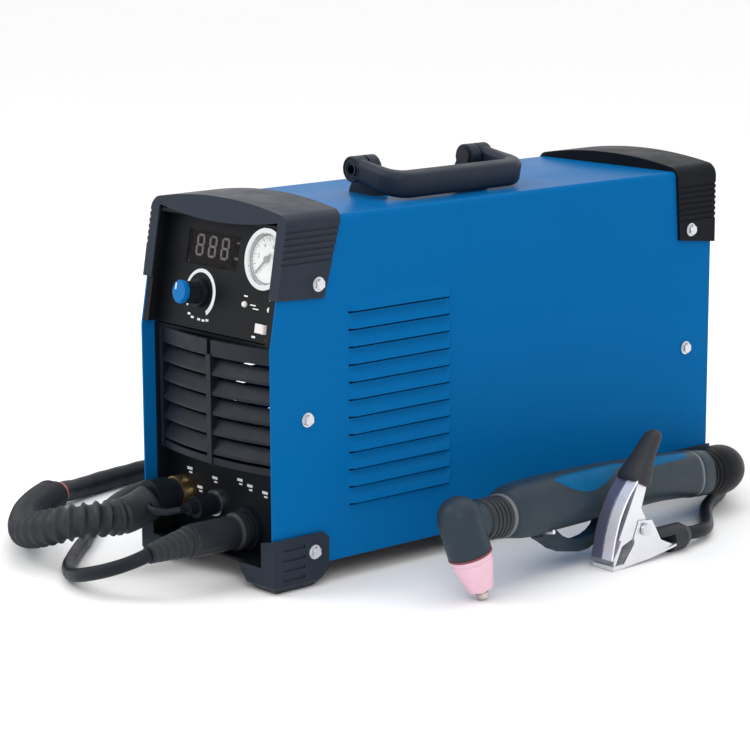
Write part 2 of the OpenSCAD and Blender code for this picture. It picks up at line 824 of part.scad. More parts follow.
module carry_handle() {
    eye_y = lug_gap / 2 + lug_w / 2 + 1;
    color([0.1, 0.11, 0.13])
    translate([pivot_x, lug_mid_y, pivot_z]) rotate([0, 11, 0])
    difference() {
        union() {
            translate([0, 0, -bail_t / 2]) linear_extrude(bail_t) difference() {
                bail_plan(bail_half(), bail_reach, 17);
                translate([-1, 1 - eye_y]) square([12, 2 * eye_y - 2]);
                bail_plan(bail_half() - arm_w, bail_reach - bar_w, 9);
            }
            for (s = [-1, 1])
                rod_y([0, s > 0 ? eye_y : -eye_y - arm_w, 0], 8.5, arm_w);
        }
        for (s = [-1, 1])
            rod_y([0, s > 0 ? eye_y - 1 : -eye_y - arm_w - 1, 0], pin_r + 0.06, arm_w + 2);
    }
}

module handle_pins() {
    color([0.75, 0.76, 0.78])
    for (side = [-1, 1])
        translate([pivot_x, lug_mid_y + side * lug_gap / 2, pivot_z]) mirror([0, side < 0 ? 1 : 0, 0])
        union() {
            rod_y([0, -lug_w / 2 - 2, 0], pin_r, lug_w + arm_w + 3);
            rod_y([0, -lug_w / 2 - 2.4, 0], 6, 2.35);
        }
}

// ---- torch ------------------------------------------------------------------

// The torch's frame: origin at the head's centre, Y along the handle to the tail, Z up.
module on_torch() {
    translate(tip_at) rotate([0, 0, torch_turn]) rotate([-torch_dip, 0, 0]) rotate([0, -torch_roll, 0])
        translate(-nozzle_len * [0, cos(head_angle), -sin(head_angle)]) children();
}

// The nozzle's frame inside the torch's: Z runs from the tip up through the head.
module on_nozzle() {
    rotate([90 - head_angle, 0, 0]) children();
}

module torch_head() {
    color([0.16, 0.17, 0.2])
    on_torch() difference() {
        union() {
            on_nozzle() translate([0, 0, -20]) cylinder(r = 14, h = 24);
            on_nozzle() translate([0, 0, 4]) sphere(14);
            rod_y([0, 0, 0], 12.4, 47);
            rod_y([0, 17, 0], 13.4, 21);
        }
        on_nozzle() translate([0, 0, -21]) cylinder(r = 8.1, h = 10);
    }
}

module shield_cup() {
    color([0.9, 0.72, 0.78])
    on_torch() on_nozzle() difference() {
        union() {
            translate([0, 0, -44]) cylinder(r1 = 8, r2 = 13.2, h = 18);
            translate([0, 0, -26]) cylinder(r = 13.2, h = 5.95);
            translate([0, 0, -20.1]) cylinder(r = 8, h = 8);
        }
        translate([0, 0, -46]) cylinder(r = 4.6, h = 40);
    }
}

module cutting_tip() {
    color([0.78, 0.74, 0.7])
    on_torch() on_nozzle() difference() {
        union() {
            translate([0, 0, -nozzle_len]) cylinder(r1 = tip_r - 1, r2 = tip_r, h = 2);
            translate([0, 0, -nozzle_len + 2]) cylinder(r = tip_r, h = 30);
        }
        translate([0, 0, -nozzle_len - 1]) cylinder(r = 0.8, h = 28);
    }
}

// Side view of the handle, in Y and Z of the torch's frame.
module handle_side() {
    polygon([[40, -12.5], [43, -15.5], [56, -16.5], [68, -17], [82, -16], [110, -15.5], [150, -14],
        [205, -12.5], [torch_len - 14, -15], [torch_len, -15], [torch_len, 17], [205, 20],
        [140, grip_h / 2 + 2], [90, grip_h / 2 + 1.5], [56, 19], [43, 16.5], [40, 13]]);
}

// Section across the handle, in X and Z.
module handle_section() {
    round_rect([31, 42], 14);
}

// The handle's whole outer form.
module handle_form() {
    intersection() {
        side_slab(-20, 20) handle_side();
        front_slab(0, torch_len + 10) handle_section();
    }
}

module torch_handle_half(side) {
    on_torch() difference() {
        intersection() {
            handle_form();
            box([side > 0 ? 0.03 : -20, 0, -30], [side > 0 ? 20 : -0.03, torch_len + 1, 30]);
        }
        rod_y([0, 30, 0], 12.5, 17.2);
        box([-9, 50, -11.5], [9, torch_len - 8, 11]);
        box([-5.4, 72, -24], [5.4, 151, -3.6]);
        rod_y([0, torch_len - 9, 0], 10.1, 12);
        translate([-20, 0, 0]) rod_x(trigger_at, 1.5, 40);
    }
}

module torch_handle_left() {
    color([0.15, 0.16, 0.18]) torch_handle_half(-1);
}

module torch_handle_right() {
    color([0.15, 0.16, 0.18]) torch_handle_half(1);
}

// Lever under the handle, hinged near the head.
module torch_trigger() {
    color([0.12, 0.13, 0.14])
    on_torch() translate([0, trigger_at[1], trigger_at[2]]) difference() {
        union() {
            side_slab(-4.9, 4.9)
                polygon([[-4, -3], [2, -6], [11, -11.5], [22, -15.3], [33, -17], [44, -16.3], [55, -12.8],
                    [64, -7], [68, -1], [68, 3], [65, 3], [61, -2.5], [55, -5.6], [48, -7.6], [40, -8.6],
                    [32, -8.6], [24, -7.4], [17, -4.6], [11, 0], [6, 3.5], [-4, 3.5]]);
            rod_x([-4.9, 0, 0], 4, 9.8);
        }
        rod_x([-6, 0, 0], 1.56, 12);
    }
}

module trigger_pin() {
    color([0.7, 0.71, 0.73])
    on_torch() translate([0, trigger_at[1], trigger_at[2]]) rod_x([-11, 0, 0], 1.5, 22);
}

module torch_boot() {
    color([0.08, 0.085, 0.095])
    on_torch() translate([0, torch_len, 0]) union() {
        rod_y([0, -8, 0], 10, 9);
        sweep([[0, 0.05, 0], [0, 10, 0], [-0.5, 20, 0], [-2, 30, 0], [-5, 39, 0], [-9, 47, 1], [-14, 54, 2],
            [-20, 60, 3]], [16, 16.4, 16.4, 16, 14.6, 12.4, 9.8, 8], 24);
    }
}

// ---- earth clamp ------------------------------------------------------------

// The clamp's plane: children drawn in Y and Z, w wide across X.
module clamp_slab(x0, x1) {
    side_slab(clamp_x + x0, clamp_x + x1) children();
}

module clamp_lower_arm() {
    z = floor_z;
    color([0.8, 0.81, 0.83])
    difference() {
        union() {
            clamp_slab(-9, 9)
                polygon([[196, z + 0.1], [204, z + 0.1], [216, z + 1.2], [234, z + 2.6], [256, z + 6],
                    [256, z + 7.6], [233, z + 4.4], [215, z + 3], [202, z + 3], [196, z + 3]]);
            for (x = [-9, 7.4])
                clamp_slab(x, x + 1.6)
                    polygon([[204, z + 0.4], [216, z + 1.6], [236, z + 3.6], [252, z + 8], [241, z + 13],
                        [232, z + 28], [221, z + 29], [215, z + 14]]);
        }
        rod_x([clamp_x - 12, clamp_pin[0], clamp_pin[1]], 2.3, 24);
    }
}

// The upper arm's frame: origin at the jaw's tip, Y along the arm.
module on_upper_arm() {
    translate([clamp_x, clamp_tip[0], clamp_tip[1]]) rotate([clamp_rise, 0, 0]) children();
}

module clamp_upper_arm() {
    color([0.8, 0.81, 0.83])
    difference() {
        union() {
            on_upper_arm() box([-7, 0, 1], [7, 70, 2.6]);
            on_upper_arm() for (x = [-7, 5.6])
                side_slab(x, x + 1.4)
                    polygon([[9, 1.2], [20, -9.5], [26, -19], [33, -19], [40, -8], [70, -4], [70, 2.4]]);
            on_upper_arm() difference() {
                box([-10.5, -1.5, 2], [10.5, 15, 4.2]);
                box([-6, 5, 1], [6, 8, 5]);
            }
        }
        rod_x([clamp_x - 12, clamp_pin[0], clamp_pin[1]], 2.3, 24);
    }
}

module clamp_lower_grip() {
    color([0.09, 0.09, 0.1])
    difference() {
        translate([clamp_x, 243, floor_z + 9]) rotate([-90, 0, 0]) union() {
            cylinder(r = 9, h = 25);
            translate([0, 0, 25]) cylinder(r1 = 9, r2 = 6.2, h = 6);
        }
        box([clamp_x - 9.6, 230, floor_z - 1], [clamp_x + 9.6, 256.2, floor_z + 13.4]);
    }
}

module clamp_upper_grip() {
    color([0.09, 0.09, 0.1])
    on_upper_arm() difference() {
        union() {
            rod_y([0, 56, -0.5], 9, 26);
            rod_y([0, 56, -0.5], 9.8, 3);
            translate([0, 82, -0.5]) sphere(9);
        }
        box([-7.4, 40, -6.8], [7.4, 70.4, 3]);
    }
}

module clamp_pin() {
    color([0.7, 0.71, 0.73])
    union() {
        rod_x([clamp_x - 11, clamp_pin[0], clamp_pin[1]], 2.24, 22);
        rod_x([clamp_x - 12, clamp_pin[0], clamp_pin[1]], 4, 2.4);
        rod_x([clamp_x + 9.6, clamp_pin[0], clamp_pin[1]], 4, 2.4);
    }
}

// ---- leads ------------------------------------------------------------------

// Unit direction of a route at point i.
function heading(p, i) =
    let (a = p[max(i - 1, 0)], b = p[min(i + 1, len(p) - 1)]) (b - a) / norm(b - a);

// A ring of n points of radius r about point i of a route.
function ring(p, i, r, n) =
    let (d = heading(p, i), u = cross([0, 0, 1], d) / norm(cross([0, 0, 1], d)), v = cross(d, u))
    [for (k = [0 : n - 1]) p[i] + r * (cos(360 * k / n) * u + sin(360 * k / n) * v)];

// A closed tube along a route; r is one radius or a list with one for each point.
module sweep(p, r, n) {
    m = len(p);
    points = [for (i = [0 : m - 1]) each ring(p, i, is_list(r) ? r[i] : r, n)];
    walls = [for (i = [0 : m - 2], k = [0 : n - 1])
        let (a = i * n + k, b = i * n + (k + 1) % n) each [[a, b, b + n], [a, b + n, a + n]]];
    first = [for (k = [n - 1 : -1 : 0]) k];
    last = [for (k = [0 : n - 1]) (m - 1) * n + k];
    polyhedron(points = points, faces = [for (f = concat(walls, [first, last])) [f[2], f[1], f[0],
        for (k = [len(f) - 1 : -1 : 3]) f[k]]]);
}

module torch_plug() {
    x = torch_socket_at[0];
    z = torch_socket_at[1];
    color([0.12, 0.13, 0.15])
    union() {
        rod_y([x, -9, z], 12.2, 13);
        rod_y([x, 3, z], 10.6, 7.9);
        rod_y([x, 10, z], 7, 6);
    }
}

module torch_plug_boot() {
    color([0.1, 0.105, 0.12])
    sweep(boot_route, boot_r, 12);
}

module torch_lead() {
    color([0.12, 0.125, 0.14]) {
        sweep(torch_route, torch_lead_d / 2, 12);
        sweep(torch_return, torch_lead_d / 2, 12);
    }
}

module torch_lead_coil() {
    color([0.12, 0.125, 0.14])
    translate([torch_coil_at[0], torch_coil_at[1], floor_z])
    rotate_extrude() translate([torch_coil_r[0], 0])
        square([torch_coil_r[1] - torch_coil_r[0], torch_coil_h]);
}

module earth_plug() {
    x = earth_socket_at[0];
    z = earth_socket_at[1];
    color([0.12, 0.13, 0.15])
    union() {
        rod_y([x, -32, z], 10.6, 47.9);
        rod_y([x, 6, z], 12.4, 6);
        rod_y([x, 14, z], 6.8, 12);
        translate([x, -31, z]) rotate([95, 0, 0]) cylinder(r1 = 9, r2 = 5.6, h = 29);
    }
}

module earth_lead() {
    color([0.12, 0.125, 0.14]) {
        sweep(earth_route, earth_lead_d / 2, 8);
        sweep(earth_return, earth_lead_d / 2, 8);
    }
}

module earth_lead_coil() {
    color([0.12, 0.125, 0.14])
    translate([earth_coil_at[0], earth_coil_at[1], floor_z])
    rotate_extrude() translate([earth_coil_r[0], 0])
        square([earth_coil_r[1] - earth_coil_r[0], earth_coil_h]);
}

translate(frame_shift) base_tray();
translate(frame_shift) case_cover();
translate(frame_shift) front_panel();
translate(frame_shift) display_panel();
translate(frame_shift) front_grille();
translate(frame_shift) front_hood();
translate(frame_shift) rear_hood();
translate(frame_shift) corner_feet();
translate(frame_shift) rear_panel();
translate(frame_shift) fan_guard();
translate(frame_shift) fan_frame();
translate(frame_shift) fan_rotor();
translate(frame_shift) handle_lugs();
translate(frame_shift) carry_handle();
translate(frame_shift) handle_pins();
translate(frame_shift) gauge_case();
translate(frame_shift) gauge_dial();
translate(frame_shift) gauge_needle();
translate(frame_shift) gauge_lens();
translate(frame_shift) current_knob();
translate(frame_shift) knob_cap();
translate(frame_shift) knob_pot();
translate(frame_shift) digit_display();
translate(frame_shift) display_window();
translate(frame_shift) indicator_lamps();
translate(frame_shift) mode_rocker();
translate(frame_shift) torch_outlet();
translate(frame_shift) control_socket();
translate(frame_shift) control_lead();
translate(frame_shift) earth_socket();
translate(frame_shift) control_board();
translate(frame_shift) power_board();
translate(frame_shift) heat_sinks();
translate(frame_shift) transformer();
translate(frame_shift) air_valve();
translate(frame_shift) air_inlet();
translate(frame_shift) mains_gland();
translate(frame_shift) switch_frame();
translate(frame_shift) power_switch();
translate(frame_shift) case_screws();
translate(frame_shift) torch_head();
translate(frame_shift) torch_handle_left();
translate(frame_shift) torch_handle_right();
translate(frame_shift) torch_trigger();
translate(frame_shift) trigger_pin();
translate(frame_shift) shield_cup();
translate(frame_shift) cutting_tip();
translate(frame_shift) torch_boot();
translate(frame_shift) clamp_lower_arm();
translate(frame_shift) clamp_upper_arm();
translate(frame_shift) clamp_lower_grip();
translate(frame_shift) clamp_upper_grip();
translate(frame_shift) clamp_pin();
translate(frame_shift) torch_plug();
translate(frame_shift) torch_plug_boot();
translate(frame_shift) torch_lead();
translate(frame_shift) torch_lead_coil();
translate(frame_shift) earth_plug();
translate(frame_shift) earth_lead();
translate(frame_shift) earth_lead_coil();
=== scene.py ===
import json
import math
import bpy
from mathutils import Matrix, Vector


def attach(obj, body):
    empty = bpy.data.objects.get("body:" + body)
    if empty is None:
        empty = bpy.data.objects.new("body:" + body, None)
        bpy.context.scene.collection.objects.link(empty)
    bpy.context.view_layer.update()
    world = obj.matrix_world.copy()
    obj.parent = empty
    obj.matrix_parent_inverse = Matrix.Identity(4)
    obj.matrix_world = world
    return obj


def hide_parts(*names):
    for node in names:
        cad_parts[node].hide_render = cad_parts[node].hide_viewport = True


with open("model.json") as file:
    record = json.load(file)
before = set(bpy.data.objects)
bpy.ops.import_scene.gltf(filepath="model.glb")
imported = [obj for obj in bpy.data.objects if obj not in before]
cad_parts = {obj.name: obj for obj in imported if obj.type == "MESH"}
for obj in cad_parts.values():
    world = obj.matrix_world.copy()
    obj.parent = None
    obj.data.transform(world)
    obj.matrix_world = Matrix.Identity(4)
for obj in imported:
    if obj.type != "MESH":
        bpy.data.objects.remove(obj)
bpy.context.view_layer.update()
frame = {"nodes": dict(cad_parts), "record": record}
NODES = frame["nodes"]
# From the machine's own origin to the frame's, and the floor, in millimetres.
SHIFT = Vector((-50, -208, 14))
FLOOR = -SHIFT.z


# ---- frames, in millimetres of the machine --------------------------------

def at(x=0, y=0, z=0):
    return Matrix.Translation((x, y, z))


def turn(deg, axis):
    return Matrix.Rotation(math.radians(deg), 4, axis)


ROW = Matrix.Scale(0.001, 4) @ Matrix.Translation(SHIFT)
TIP_AT = (158, 92, FLOOR + 1)
NOZZLE_LEN = 50.0
NOZZLE_TILT = 18
HEAD_ANGLE = math.radians(90 - NOZZLE_TILT)
TORCH_YAW, TORCH_PITCH, TORCH_ROLL = 8.5, -4, -10
PANEL_TILT = -9.8
CLAMP_TILT = 64
TORCH = (ROW @ at(*TIP_AT) @ turn(TORCH_YAW, "Z") @ turn(TORCH_PITCH, "X") @ turn(TORCH_ROLL, "Y")
         @ at(0, -NOZZLE_LEN * math.cos(HEAD_ANGLE), NOZZLE_LEN * math.sin(HEAD_ANGLE)))
NOZZLE = TORCH @ turn(NOZZLE_TILT, "X")
PANEL = ROW @ at(0, 9.5, 141) @ turn(PANEL_TILT, "X")
UPPER = ROW @ at(160, 199, FLOOR + 4) @ turn(CLAMP_TILT, "X")


def row(p):
    return ROW @ Vector(p)


# ---- camera -----------------------------------------------------------------

CAMERA_AT = (1271.6, -976.1, 443.9)
CAMERA_YAW, CAMERA_DOWN, CAMERA_ROLL = 48.658, 11.602, -0.225
camera = bpy.data.objects.new("camera", bpy.data.cameras.new("camera"))
bpy.context.scene.collection.objects.link(camera)
camera.data.lens = 124.7
camera.data.sensor_width = 36
camera.data.clip_end = 50
camera.matrix_world = (
    Matrix.Translation(row(CAMERA_AT))
    @ turn(CAMERA_YAW, "Z") @ turn(90 - CAMERA_DOWN, "X") @ turn(CAMERA_ROLL, "Z")
)
bpy.context.scene.camera = camera


# ---- materials --------------------------------------------------------------

def noise(tree, scale, detail, rough=0.55, stretch=None):
    coords = tree.nodes.new("ShaderNodeTexCoord")
    source = coords.outputs["Object"]
    if stretch:
        mapping = tree.nodes.new("ShaderNodeMapping")
        mapping.inputs["Scale"].default_value = stretch
        tree.links.new(source, mapping.inputs["Vector"])
        source = mapping.outputs["Vector"]
    tex = tree.nodes.new("ShaderNodeTexNoise")
    tex.inputs["Scale"].default_value = scale
    tex.inputs["Detail"].default_value = detail
    tex.inputs["Roughness"].default_value = rough
    tree.links.new(source, tex.inputs["Vector"])
    return tex.outputs["Fac"]


def ramp(tree, source, low, high, a, b):
    node = tree.nodes.new("ShaderNodeMapRange")
    node.inputs["From Min"].default_value = low
    node.inputs["From Max"].default_value = high
    node.inputs["To Min"].default_value = a
    node.inputs["To Max"].default_value = b
    tree.links.new(source, node.inputs["Value"])
    return node.outputs["Result"]


def material(name, color, rough, metal=0.0, grain=None, mottle=None, scuff=None, stretch=None,
             coat=0.0, specular=0.5, alpha=1.0, glow=0.0, sheen=0.0):
    """grain = (scale, depth in mm), mottle = (scale, share), scuff = (scale, rougher by)."""
    mat = bpy.data.materials.new(name)
    mat.use_nodes = True
    tree = mat.node_tree
    shader = tree.nodes["Principled BSDF"]
    put = shader.inputs
    put["Base Color"].default_value = (*color, 1)
    put["Roughness"].default_value = rough
    put["Metallic"].default_value = metal
    put["Specular IOR Level"].default_value = specular
    put["Coat Weight"].default_value = coat
    put["Coat Roughness"].default_value = 0.12
    put["Alpha"].default_value = alpha
    put["Sheen Weight"].default_value = sheen
    if glow:
        put["Emission Color"].default_value = (*color, 1)
        put["Emission Strength"].default_value = glow
    if mottle:
        mix = tree.nodes.new("ShaderNodeMix")
        mix.data_type = "RGBA"
        mix.inputs["A"].default_value = (*[c * (1 - mottle[1]) for c in color], 1)
        mix.inputs["B"].default_value = (*[min(1, c * (1 + mottle[1]) + 0.02 * mottle[1]) for c in color], 1)
        tree.links.new(noise(tree, mottle[0], 4, stretch=stretch), mix.inputs["Factor"])
        tree.links.new(mix.outputs["Result"], put["Base Color"])
    if scuff:
        fac = noise(tree, scuff[0], 5, 0.6, stretch)
        tree.links.new(ramp(tree, fac, 0.35, 0.75, rough, min(1, rough + scuff[1])), put["Roughness"])
    if grain:
        bump = tree.nodes.new("ShaderNodeBump")
        bump.inputs["Distance"].default_value = grain[1] / 1000
        tree.links.new(noise(tree, grain[0], 2, 0.5, stretch), bump.inputs["Height"])
        tree.links.new(bump.outputs["Normal"], put["Normal"])
    return mat


BLUE = (0.0012, 0.114, 0.325)
MATS = {
    "blue_steel": material("blue_paint", BLUE, 0.26, grain=(420, 0.02), mottle=(7, 0.05), scuff=(14, 0.08),
                           specular=0.015),
    "tray_steel": material("tray_paint", (0.012, 0.013, 0.016), 0.45, grain=(900, 0.05), mottle=(30, 0.2),
                           specular=0.3),
    "slate_plastic": material("slate_plastic", (0.0095, 0.0165, 0.029), 0.38, grain=(2400, 0.04),
                              mottle=(45, 0.15), scuff=(60, 0.14), specular=0.22),
    "panel_plastic": material("panel_plastic", (0.004, 0.005, 0.0065), 0.36, grain=(3000, 0.02),
                              mottle=(60, 0.15), scuff=(40, 0.12), specular=0.13),
    "black_plastic": material("black_plastic", (0.005, 0.008, 0.014), 0.4, grain=(2600, 0.04),
                              mottle=(60, 0.2), scuff=(80, 0.15), specular=0.2),
    "gloss_black": material("gloss_black", (0.008, 0.008, 0.009), 0.16, mottle=(50, 0.15), scuff=(70, 0.1)),
    "steel": material("bright_steel", (0.76, 0.76, 0.8), 0.26, metal=0.85, grain=(900, 0.008),
                      mottle=(35, 0.06), scuff=(60, 0.12)),
    "zinc_steel": material("zinc_steel", (0.68, 0.69, 0.72), 0.24, metal=1, grain=(700, 0.03),
                           mottle=(120, 0.12), scuff=(200, 0.2)),
    "brass": material("brass", (0.72, 0.52, 0.24), 0.26, metal=1, grain=(900, 0.02), mottle=(90, 0.15),
                      scuff=(150, 0.2)),
    "chrome": material("chrome", (0.84, 0.85, 0.87), 0.08, metal=1, mottle=(80, 0.04), scuff=(120, 0.08)),
    "white_dial": material("white_dial", (0.8, 0.8, 0.78), 0.5, grain=(2500, 0.01), mottle=(90, 0.04)),
    "needle_black": material("needle_black", (0.01, 0.01, 0.011), 0.4, mottle=(90, 0.2)),
    "clear": material("clear_lens", (0.95, 0.98, 1.0), 0.04, alpha=0.16, mottle=(90, 0.02)),
    "smoked": material("smoked_window", (0.006, 0.005, 0.006), 0.12, alpha=0.35,
                       mottle=(90, 0.1), specular=0.2),
    "blue_plastic": material("blue_plastic", (0.0008, 0.13, 0.38), 0.25, grain=(1500, 0.02),
                             mottle=(80, 0.08), scuff=(90, 0.1), specular=0.15),
    "digits": material("display_block", (0.006, 0.005, 0.005), 0.5, mottle=(60, 0.15), specular=0.15),
    "lamp_white": material("lamp_white", (0.75, 0.75, 0.72), 0.25, mottle=(150, 0.06), coat=0.3),
    "white_plastic": material("white_plastic", (0.7, 0.66, 0.66), 0.35, grain=(2500, 0.02),
                              mottle=(100, 0.08)),
    "board_green": material("board_green", (0.015, 0.14, 0.05), 0.35, mottle=(300, 0.35), grain=(900, 0.05)),
    "aluminium": material("aluminium", (0.72, 0.73, 0.75), 0.35, metal=1, grain=(300, 0.03), mottle=(40, 0.1),
                          stretch=(10, 1, 10)),
    "winding": material("winding", (0.42, 0.17, 0.06), 0.35, metal=0.8, grain=(160, 0.4), mottle=(90, 0.3),
                        stretch=(0.4, 0.4, 12)),
    "red_plastic": material("red_plastic", (0.5, 0.015, 0.012), 0.25, mottle=(90, 0.1), coat=0.3),
    "ceramic": material("pink_ceramic", (0.74, 0.47, 0.56), 0.34, grain=(1800, 0.03), mottle=(140, 0.1),
                        scuff=(120, 0.25), coat=0.25),
    "tip_metal": material("tip_metal", (0.62, 0.57, 0.52), 0.28, metal=1, grain=(900, 0.04),
                          mottle=(200, 0.25), scuff=(200, 0.25)),
    "torch_plastic": material("torch_plastic", (0.015, 0.028, 0.041), 0.38, grain=(2600, 0.05),
                              mottle=(50, 0.15), scuff=(70, 0.14), specular=0.25),
    "rubber": material("rubber", (0.014, 0.0165, 0.022), 0.46, grain=(2200, 0.06), mottle=(70, 0.25),
                       scuff=(90, 0.2), specular=0.34),
    "lead_sheath": material("lead_sheath", (0.009, 0.012, 0.017), 0.36, grain=(1800, 0.04), mottle=(80, 0.2),
                            scuff=(110, 0.16), specular=0.12),
}
INLAY = material("blue_inlay", (0.0003, 0.095, 0.23), 0.45, grain=(1900, 0.05),
                 mottle=(50, 0.2), specular=0.05)
# The two clamp leaves are one steel in two copies: this brighter one is painted light, for the lit right
# leaf, and the next, darker one is painted shade, for the left leaf.
LEAF_PAINTED_LIT = material("leaf_steel_painted_lit", (0.86, 0.85, 0.92), 0.24, metal=0.4, mottle=(60, 0.03), scuff=(80, 0.1))
LEAF_SHADE = material("leaf_shade", (0.12, 0.13, 0.2), 0.22, metal=0.35, mottle=(60, 0.05), specular=0.25)
# A darker copy of the slate plastic. On the rear hood it is painted shade, since that hood's cheek lies in
# shade; the front panel takes it as its darker plastic.
DARKER_SLATE_AND_SHADE = material("darker_plastic_and_painted_shade", (0.0045, 0.006, 0.009), 0.38, grain=(2400, 0.04), mottle=(45, 0.15),
                scuff=(60, 0.14), specular=0.07)
TAIL_RUBBER = material("tail_rubber", (0.0035, 0.0042, 0.006), 0.34, grain=(2200, 0.04), mottle=(70, 0.2),
                       scuff=(90, 0.15), specular=0.07)
PRINT = material("white_print", (0.72, 0.73, 0.75), 0.55, mottle=(200, 0.06))
SEGMENT = material("display_segment", (0.5, 0.43, 0.42), 0.4, mottle=(200, 0.06), glow=0.25)
SEAL = material("seal_ring", (0.16, 0.03, 0.04), 0.45, grain=(1500, 0.05), mottle=(90, 0.2))
GREY_RING = material("grey_ring", (0.11, 0.12, 0.135), 0.4, grain=(1500, 0.03), mottle=(90, 0.1))
SLEEVE = material("red_sleeve", (0.34, 0.05, 0.04), 0.5, grain=(1500, 0.05), mottle=(60, 0.25))
TIE = material("tie_band", (0.02, 0.021, 0.024), 0.7, grain=(1600, 0.15), mottle=(160, 0.3), sheen=0.3)

SLOT = {s["node"]: s["material_slot"] for s in frame["record"]["subparts"]}
# Parts drawn in other materials: the rear hood's darker plastic is painted shade; the front panel and grille
# take darker plastics.
SHADE = {"rear_hood": DARKER_SLATE_AND_SHADE, "front_panel": DARKER_SLATE_AND_SHADE, "front_grille": MATS["black_plastic"]}
for node, piece in NODES.items():
    piece.data.materials.clear()
    piece.data.materials.append(SHADE.get(node, MATS[SLOT[node]]))


# ---- mesh helpers -----------------------------------------------------------

def mesh_piece(name, verts, faces, mat, matrix=ROW, body="case", slot=None, replaces=(), smooth=40):
    """A mesh in the scene from points in mm; smooth is the edge angle in degrees, or 0 for flat faces."""
    mesh = bpy.data.meshes.new(name)
    mesh.from_pydata([matrix @ Vector(v) for v in verts], [], faces)
    mesh.validate()
    mesh.update()
    piece = bpy.data.objects.new(name, mesh)
    bpy.context.scene.collection.objects.link(piece)
    mesh.materials.append(mat)
    if smooth:
        mesh.shade_smooth()
        mesh.set_sharp_from_angle(angle=math.radians(smooth))
    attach(piece, body)
    if replaces:
        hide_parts(*replaces)
    return piece


def skin(rings, closed=False):
    """Vertices and faces of a surface through rings of equal length, with capped ends."""
    n = len(rings[0])
    verts = [p for ring in rings for p in ring]
    last = len(rings) if closed else len(rings) - 1
    faces = []
    for i in range(last):
        a, b = i * n, (i + 1) % len(rings) * n
        faces += [(a + k, a + (k + 1) % n, b + (k + 1) % n, b + k) for k in range(n)]
    if not closed:
        faces += [tuple(range(n))[::-1], tuple((len(rings) - 1) * n + k for k in range(n))]
    return verts, faces


def lathe(profile, n=64):
    """Turns (radius, height) points about Z; a radius of 0 closes an end."""
    rings = [[(r * math.cos(t), r * math.sin(t), z) for t in (2 * math.pi * k / n for k in range(n))]
             for r, z in ((max(r, 0.001), z) for r, z in profile)]
    return skin(rings)


def spline(points, step):
    """A smooth line through the points, evenly resampled."""
    pts = [Vector(p) for p in points]
    ends = [2 * pts[0] - pts[1]] + pts + [2 * pts[-1] - pts[-2]]
    fine = []
    for i in range(1, len(ends) - 2):
        p0, p1, p2, p3 = ends[i - 1:i + 3]
        for k in range(24):
            t = k / 24
            fine.append(0.5 * (2 * p1 + (p2 - p0) * t + (2 * p0 - 5 * p1 + 4 * p2 - p3) * t * t
                               + (3 * p1 - p0 - 3 * p2 + p3) * t ** 3))
    fine.append(pts[-1])
    far = [0.0]
    for a, b in zip(fine, fine[1:]):
        far.append(far[-1] + (b - a).length)
    count = max(2, round(far[-1] / step))
    out, j = [], 0
    for k in range(count + 1):
        d = far[-1] * k / count
        while j < len(far) - 2 and far[j + 1] < d:
            j += 1
        t = (d - far[j]) / max(far[j + 1] - far[j], 1e-9)
        out.append(fine[j].lerp(fine[j + 1], min(1, t)))
    return out


def tube_rings(path, radius, n=24):
    """Rings along a path; radius is a number or a function of (distance, angle)."""
    rings, far, up = [], 0.0, Vector((0, 0, 1))
    for i, p in enumerate(path):
        ahead = (path[min(i + 1, len(path) - 1)] - path[max(i - 1, 0)]).normalized()
        side = up.cross(ahead)
        side = side.normalized() if side.length > 1e-6 else Vector((1, 0, 0))
        over = ahead.cross(side)
        if i:
            far += (p - path[i - 1]).length
        ring = []
        for k in range(n):
            t = 2 * math.pi * k / n
            r = radius(far, t) if callable(radius) else radius
            ring.append(p + r * (math.cos(t) * side + math.sin(t) * over))
        rings.append(ring)
    return rings


def round_section(w, h, r, n=8):
    """Points of a rectangle with round corners, about its centre."""
    r = min(r, w / 2 - 0.01, h / 2 - 0.01)
    pts = []
    for cx, cy, a0 in ((1, 1, 0), (-1, 1, 90), (-1, -1, 180), (1, -1, 270)):
        for k in range(n):
            a = math.radians(a0 + 90 * k / (n - 1))
            pts.append((cx * (w / 2 - r) + r * math.cos(a), cy * (h / 2 - r) + r * math.sin(a)))
    return pts


def prism(outline, low, high):
    """An outline in (x, z) pushed from y = low to y = high."""
    n = len(outline)
    verts = [(x, low, z) for x, z in outline] + [(x, high, z) for x, z in outline]
    faces = [tuple(range(n)), tuple(range(2 * n - 1, n - 1, -1))]
    faces += [(k, k + n, (k + 1) % n + n, (k + 1) % n) for k in range(n)]
    return verts, faces


def join(parts):
    verts, faces = [], []
    for v, f in parts:
        base = len(verts)
        verts += list(v)
        faces += [tuple(i + base for i in face) for face in f]
    return verts, faces


def moved(part, matrix):
    return [matrix @ Vector(v) for v in part[0]], part[1]


def ease(piece, width, segments, angle=35):
    """Rounds a piece's edges by a width in mm, where they are sharper than the angle."""
    bevel = piece.modifiers.new("edges", "BEVEL")
    bevel.width = width / 1000
    bevel.segments = segments
    bevel.limit_method = "ANGLE"
    bevel.angle_limit = math.radians(angle)
    bevel.harden_normals = False


# ---- leads ------------------------------------------------------------------

